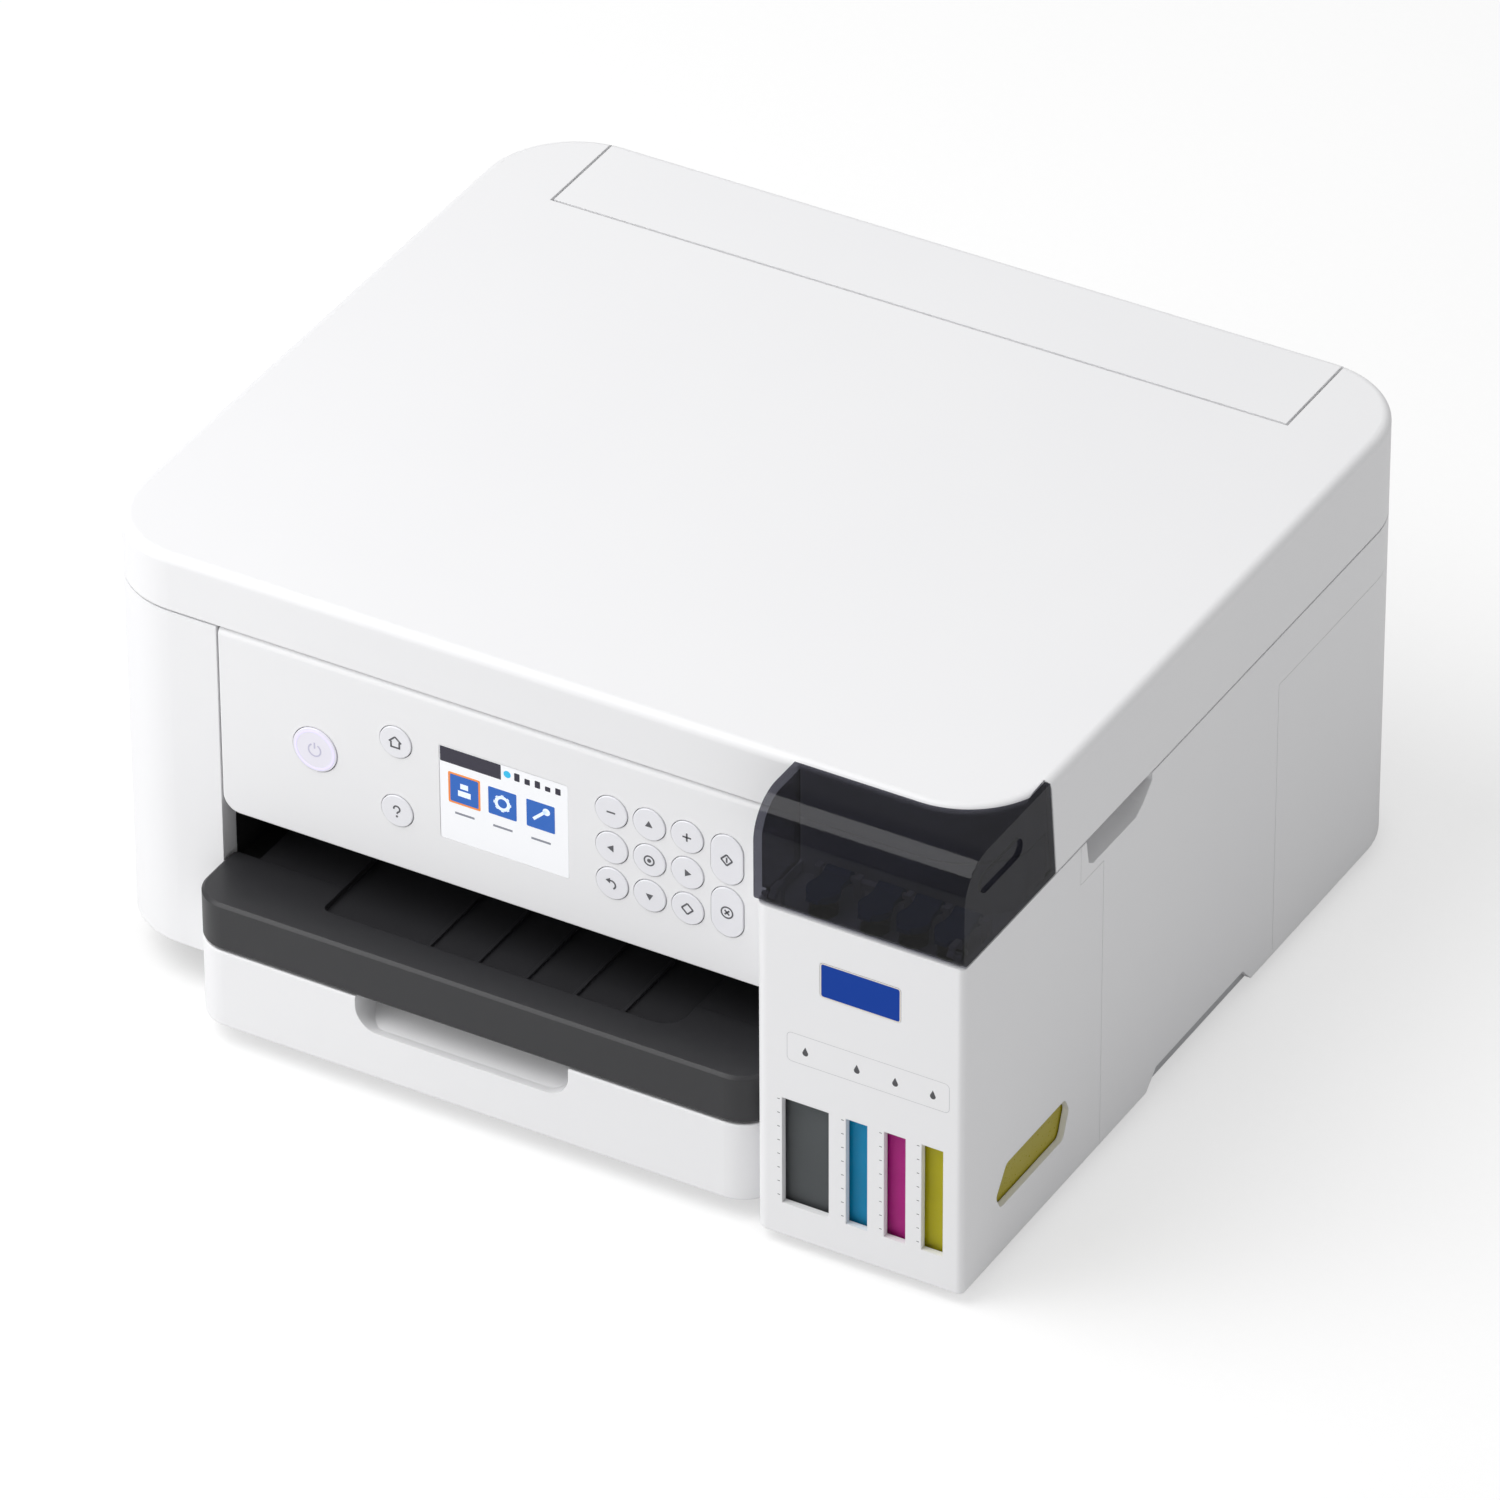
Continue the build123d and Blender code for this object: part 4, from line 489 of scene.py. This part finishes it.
key_print = printed("pad_print_grey", "#5A5A5F")
for node_name in sorted(nodes):
    if not node_name.startswith("button_"):
        continue
    kind = node_name.removeprefix("button_")
    centre = centre_of(node_name)
    shapes = [
        [(SIGN_SIZE * x + centre.x, SIGN_SIZE * z + centre.z) for x, z in outline]
        for outline in pictograms[kind]
    ]
    if kind == "power":
        power_print = printed("pad_print_lilac", "#C9C6DC")
        sign("sign_power", shapes, KEY_FACE, node_name, power_print)
    else:
        sign("sign_" + kind, shapes, KEY_FACE, node_name, key_print)

# Lit ring round the power key

power = centre_of("button_power")
power_glow = lit("light_guide_lilac", "#D9D2FF", 0.35)
power_band = arc(power.x, power.z, 7.9, 0.7, 0, 360, 48)
sign("power_ring", power_band, KEY_FACE, "button_power", power_glow)


# Display picture: header strip, level marks, three tiles with plain signs, caption lines


def on_screen(name, outlines, material, thickness=0.02, lift=0.0):
    sign(name, outlines, SCREEN_Y - lift, "control_panel", material, thickness)


SCREEN_Y = BODY_FRONT + 0.1
SCREEN_MARGIN = 3.2
screen_low, screen_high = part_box("display")
screen_left = screen_low.x / MM + SCREEN_MARGIN
screen_right = screen_high.x / MM - SCREEN_MARGIN
screen_top = screen_high.z / MM - SCREEN_MARGIN
display_dark = lit("display_header_dark", "#2A2738", 0.05)

header_end = screen_left + 0.48 * (screen_right - screen_left)
header = rounded(screen_left, screen_top - 6.4, header_end, screen_top, 0.3)
on_screen("screen_header", [header], display_dark, 0.03)

LEVELS = (3.4, 2.4, 3.0, 2.0, 2.7)
LEVEL_HALF = 1.1
LEVEL_PITCH = 4.2
status_z = screen_top - 3.2
level_low = status_z - 1.7
level_marks = []
for number, level in enumerate(LEVELS):
    x = header_end + 6.6 + LEVEL_PITCH * number
    mark = rounded(x - LEVEL_HALF, level_low, x + LEVEL_HALF, level_low + level, 0.3)
    level_marks.append(mark)
on_screen("screen_status", level_marks, display_dark)
cyan_light = lit("display_drop_cyan", "#22B4E0", 0.2)
on_screen("screen_drop", [disc(header_end + 2.6, status_z, 1.5)], cyan_light)

TILE_PITCH = 15.7
TILE_HALF = 5.8
SELECT_HALF = 6.6
TOOTH_IN, TOOTH_OUT = 2.8, 3.6
tile_x = [screen_left + 9.8 + TILE_PITCH * number for number in range(3)]
tile_z = screen_top - 16.6
frame_orange = lit("display_frame_orange", "#E8893A", 0.2)
on_screen("screen_select", [square(tile_x[0], tile_z, SELECT_HALF, 0.6)], frame_orange)
tile_blue = lit("display_tile_blue", "#1C5FB8", 0.15)
tiles = [square(x, tile_z, TILE_HALF, 0.5) for x in tile_x]
on_screen("screen_tiles", tiles, tile_blue, 0.03, 0.02)

# Two stacked blocks, a toothed wheel and a handle with a round head
stack_x, wheel_x, handle_x = tile_x
screen_signs = [
    bar(stack_x - 2.6, tile_z - 1.6, stack_x + 2.6, tile_z - 1.6, 2.4),
    bar(stack_x - 1.6, tile_z + 1.6, stack_x + 1.6, tile_z + 1.6, 2.2),
    *arc(wheel_x, tile_z, 2.6, 1.3, 0, 360),
]
tooth_tips = disc(wheel_x, tile_z, TOOTH_OUT, 8)
tooth_roots = disc(wheel_x, tile_z, TOOTH_IN, 8)
screen_signs += [bar(*tip, *root, 1.1) for tip, root in zip(tooth_tips, tooth_roots)]
screen_signs.append(bar(handle_x - 3, tile_z - 2, handle_x + 2.2, tile_z + 2.8, 1.2))
screen_signs.append(disc(handle_x + 2.4, tile_z + 2.6, 1.5))
picture_white = lit("display_white_sign", "#E8F2FF", 0.2)
on_screen("screen_signs", screen_signs, picture_white, 0.02, 0.05)

CAPTION_HALF = 4.0
caption_z = tile_z - 10.6
captions = [bar(x - CAPTION_HALF, caption_z, x + CAPTION_HALF, caption_z, 0.9) for x in tile_x]
on_screen("screen_captions", captions, lit("display_caption_grey", "#8A8D98", 0.05))


# Prints on the front of the tank housing: plate edge, a drop for each tank and their frame


def on_tank_front(name, outlines, material):
    sign(name, outlines, TANK_FRONT, "casing", material, PRINT)


plate_low, plate_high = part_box("name_plate")
plate_box = [value / MM for value in (plate_low.x, plate_low.z, plate_high.x, plate_high.z)]
cream_print = printed("pad_print_cream", "#E6E0D6")
on_tank_front("plate_edge", rim(*plate_box, 1.4, 0.5), cream_print)

DROP_Z = 87.4
DROP_RADIUS = 1.15
MARK_FRAME = (117.2, 82.2, 182.2, 94.8)
window_x = {"black": 124.6, "cyan": 145.2, "magenta": 160.5, "yellow": 175.5}
mark_print = printed("pad_print_dark_grey", "#4A4A4E")
for colour, x in window_x.items():
    on_tank_front("mark_" + colour, [drop(x, DROP_Z, DROP_RADIUS)], mark_print)
pale_print = printed("pad_print_pale_grey", "#C9C9CC")
on_tank_front("mark_frame", rim(*MARK_FRAME, 2.0, 0.22), pale_print)


# Screws and ticks: rows made by a node tree, one small piece per place


def screw_head(turn):
    # Pan head with a domed top and a cross recess; turn points the top outwards from its face
    sides = 24
    dome = ((3.0, 0.0), (3.0, 0.45), (2.5, 0.85), (1.4, 1.05))
    # The recess reaches out in its four arms and stays narrow between them
    recess = [1.3 if i % 6 in (0, 1, 5) else 0.45 for i in range(sides)]
    rings = [([radius] * sides, height) for radius, height in dome] + [(recess, 0.25)]
    builder = bmesh.new()
    loops = []
    for radii, height in rings:
        loop = []
        for i, radius in enumerate(radii):
            a = 2 * math.pi * i / sides
            loop.append(builder.verts.new((radius * math.cos(a), radius * math.sin(a), height)))
        loops.append(loop)
    for lower, upper in zip(loops, loops[1:]):
        for i in range(sides):
            j = (i + 1) % sides
            builder.faces.new((lower[i], lower[j], upper[j], upper[i]))
    builder.faces.new(loops[-1])
    builder.faces.new(loops[0][::-1])
    bmesh.ops.recalc_face_normals(builder, faces=builder.faces)
    bmesh.ops.scale(builder, vec=(MM, MM, MM), verts=builder.verts)
    bmesh.ops.transform(builder, matrix=turn, verts=builder.verts)
    return builder


def tick(turn):
    # Short printed dash, lying in the front plane until it is turned
    builder = bmesh.new()
    bmesh.ops.create_cube(builder, size=1.0)
    bmesh.ops.scale(builder, vec=(1.0 * MM, 0.04 * MM, 0.28 * MM), verts=builder.verts)
    bmesh.ops.bevel(builder, geom=builder.edges[:], offset=0.01 * MM, segments=1, affect="EDGES")
    bmesh.ops.transform(builder, matrix=turn, verts=builder.verts)
    return builder


def scatter(name, places, pattern, body, material):
    # Points carry one copy of the pattern each; the tree joins them into one mesh
    points = bpy.data.meshes.new(name + "_points")
    points.from_pydata([Vector(place) * MM for place in places], [], [])
    piece = add_object(name, points)
    pattern_mesh = bpy.data.meshes.new(name + "_pattern")
    pattern.to_mesh(pattern_mesh)
    pattern.free()
    source = add_object(name + "_pattern", pattern_mesh)

    tree = bpy.data.node_groups.new(name + "_tree", "GeometryNodeTree")
    sockets = tree.interface
    sockets.new_socket("Geometry", in_out="INPUT", socket_type="NodeSocketGeometry")
    size = sockets.new_socket("Copy size", in_out="INPUT", socket_type="NodeSocketFloat")
    sockets.new_socket("Geometry", in_out="OUTPUT", socket_type="NodeSocketGeometry")
    inputs = add_node(tree, "NodeGroupInput")
    shape = add_node(tree, "GeometryNodeObjectInfo", {"Object": source})
    copies = add_node(
        tree,
        "GeometryNodeInstanceOnPoints",
        {},
        {
            "Points": inputs.outputs["Geometry"],
            "Instance": shape.outputs["Geometry"],
            "Scale": inputs.outputs["Copy size"],
        },
    )
    real = add_node(
        tree, "GeometryNodeRealizeInstances", {}, {"Geometry": copies.outputs["Instances"]}
    )
    coated = add_node(
        tree,
        "GeometryNodeSetMaterial",
        {"Material": material},
        {"Geometry": real.outputs["Geometry"]},
    )
    add_node(tree, "NodeGroupOutput", {}, {"Geometry": coated.outputs["Geometry"]})
    modifier = piece.modifiers.new("copies", "NODES")
    modifier.node_group = tree
    modifier[size.identifier] = 1.0
    bpy.context.view_layer.update()
    evaluated = piece.evaluated_get(bpy.context.evaluated_depsgraph_get())
    solid = bpy.data.meshes.new_from_object(evaluated)
    piece.modifiers.clear()
    piece.data = solid
    solid.name = name
    bpy.data.objects.remove(source)
    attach(piece, body)
    return piece


base_low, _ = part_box("base_tray")
base_z = base_low.z / MM
scatter(
    "base_screws",
    [(x, y, base_z + 0.3) for x in (-150, -60, 60, 150) for y in (-40, 50, 150)],
    screw_head(Matrix.Rotation(math.pi, 4, "X")),
    "casing",
    finishes["steel_ground"],
)

# From each window's centre to the ticks at its left
TICK_REACH = {"black": 10.8, "cyan": 5.7, "magenta": 5.7, "yellow": 5.7}
tick_x = [x - TICK_REACH[colour] for colour, x in window_x.items()]
scatter(
    "window_ticks",
    [(x, TANK_FRONT, z) for x in tick_x for z in range(22, 65, 6)],
    tick(Matrix.Identity(4)),
    "casing",
    mark_print,
)

# Size marks on the cassette floor, in front of the sheet guides
CASSETTE_FLOOR = 13.2
MARK_SCALE = 3
guide_low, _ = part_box("guide_left")
mark_y = guide_low.y / MM - 12
lie_flat = Matrix.Rotation(math.pi / 2, 4, "X") @ Matrix.Rotation(math.pi / 2, 4, "Y")
scatter(
    "cassette_marks",
    [(x, mark_y, CASSETTE_FLOOR) for x in range(-106, -45, 5)],
    tick(lie_flat @ Matrix.Scale(MARK_SCALE, 4)),
    "paper_cassette",
    mark_print,
)


# Pieces inside the machine that show when the covers are open


def soft_block(name, low, high, round_mm, body, material, slot):
    # Block between two corners in millimetres, with its edges rounded over
    builder = bmesh.new()
    bmesh.ops.create_cube(builder, size=1.0)
    size = [(b - a) * MM for a, b in zip(low, high)]
    centre = [(a + b) / 2 * MM for a, b in zip(low, high)]
    bmesh.ops.scale(builder, vec=size, verts=builder.verts)
    bmesh.ops.translate(builder, vec=centre, verts=builder.verts)
    bmesh.ops.bevel(
        builder,
        geom=builder.edges[:],
        offset=round_mm * MM,
        segments=3,
        profile=0.5,
        affect="EDGES",
        clamp_overlap=True,
    )
    return finish_mesh(name, builder, body, material)


# Open-cell foam pad of the capping station, cut from a block: matt and coarse
PAD_BOX = ((115.8, -26.7, 72.0), (140.2, 4.7, 75.4))
foam = moulded("polyurethane_foam_open_cell", "#55565A", "#3C3D40", 0.9, 0.5, 0.25)
soft_block("capping_pad", *PAD_BOX, 0.8, "casing", foam, "foot_rubber")

# Encoder film that the carriage reads its place from, between the two side plates
FILM_BOX = ((-150.6, 29.9, 124.0), (163.6, 30.1, 131.0))
film = clear_plastic("polyester_encoder_film", "#E3E5E8", 0.12, 0.04)
soft_block("encoder_film", *FILM_BOX, 0.05, "casing", film, "tank_clear")

# Tinted strip behind the side window of the yellow tank
STRIP_BOX = ((183.6, -154.0, 21.0), (184.6, -86.5, 45.0))
sight_film = printed("sight_strip_yellow_tint", "#A89C1C", 0.3)
soft_block("sight_strip", *STRIP_BOX, 0.3, "casing", sight_film, "ink_yellow")


# Floor, lights and camera

FLOOR_HALF = 4.0
FLOOR_Z = -0.0002
FLOOR_LIFT = 0.34
FLOOR_GLOW = 1.5
FLOOR_GRAIN_SCALE = 300.0
WORLD_STRENGTH = 0.53
WHITE = (1, 1, 1, 1)


def stage_scene():
    # Pale floor: the camera sees it lifted to white, with the soft shadow kept in it
    material, tree, shader = new_material("studio_floor_matt")
    tree.nodes.remove(shader)
    place = add_node(tree, "ShaderNodeTexCoord")
    grain = add_node(
        tree,
        "ShaderNodeTexNoise",
        {"Scale": FLOOR_GRAIN_SCALE, "Detail": 2.0},
        {"Vector": place.outputs["Object"]},
    )
    colour = add_node(
        tree,
        "ShaderNodeMix",
        {"A": linear("#E4E4E4"), "B": linear("#E8E8E8")},
        {"Factor": grain.outputs["Fac"]},
        data_type="RGBA",
    )
    matt = add_node(tree, "ShaderNodeBsdfDiffuse", {}, {"Color": colour.outputs["Result"]})
    white = add_node(tree, "ShaderNodeEmission", {"Color": WHITE, "Strength": FLOOR_GLOW})
    ray = add_node(tree, "ShaderNodeLightPath")
    lift = add_node(
        tree,
        "ShaderNodeMath",
        {1: FLOOR_LIFT},
        {0: ray.outputs["Is Camera Ray"]},
        operation="MULTIPLY",
    )
    floor_look = add_node(
        tree,
        "ShaderNodeMixShader",
        {},
        {"Fac": lift.outputs["Value"], 1: matt.outputs["BSDF"], 2: white.outputs["Emission"]},
    )
    tree.links.new(floor_look.outputs["Shader"], tree.nodes["Material Output"].inputs["Surface"])
    turns = ((-1, -1), (1, -1), (1, 1), (-1, 1))
    corners = [(x * FLOOR_HALF, y * FLOOR_HALF, FLOOR_Z) for x, y in turns]
    mesh = bpy.data.meshes.new("floor")
    mesh.from_pydata(corners, [], [(0, 1, 2, 3)])
    mesh.materials.append(material)
    add_object("floor", mesh)

    world = bpy.data.worlds.new("studio")
    bpy.context.scene.world = world
    world.use_nodes = True
    surface = world.node_tree.nodes["Background"]
    surface.inputs["Color"].default_value = WHITE
    surface.inputs["Strength"].default_value = WORLD_STRENGTH


def area_light(name, place, size, power, target=(0, 0, 0.08)):
    data = bpy.data.lights.new(name, "AREA")
    data.shape = "DISK"
    data.size = size
    data.energy = power
    light = add_object(name, data)
    light.location = place
    light.rotation_mode = "QUATERNION"
    light.rotation_quaternion = (Vector(target) - Vector(place)).to_track_quat("-Z", "Y")


stage_scene()
area_light("key_upper_left", (-0.85, -0.75, 1.95), size=1.8, power=29.8)
area_light("front_fill_left", (-0.75, -0.85, 0.45), size=0.6, power=1.8)

# The camera as solved from the photo's edges: place in metres, axes of the picture
CAMERA_PLACE = (1.79335, -3.10846, 2.57993)
CAMERA_ACROSS = (0.86785565, 0.49680223, -0.0037564)
CAMERA_UPWARD = (-0.28174738, 0.49837927, 0.81990031)

camera_data = bpy.data.cameras.new("photo_camera")
camera_data.lens = 288.63
camera_data.sensor_width = 36.0
camera_data.shift_x = -0.0001
camera_data.shift_y = -0.0092
camera_data.clip_end = 50.0
camera = add_object("photo_camera", camera_data)
across = Vector(CAMERA_ACROSS).normalized()
upward = Vector(CAMERA_UPWARD).normalized()
turned = Matrix((across, upward, across.cross(upward))).transposed().to_4x4()
camera.matrix_world = Matrix.Translation(CAMERA_PLACE) @ turned

scene = bpy.context.scene
scene.camera = camera
scene.view_settings.view_transform = "Standard"
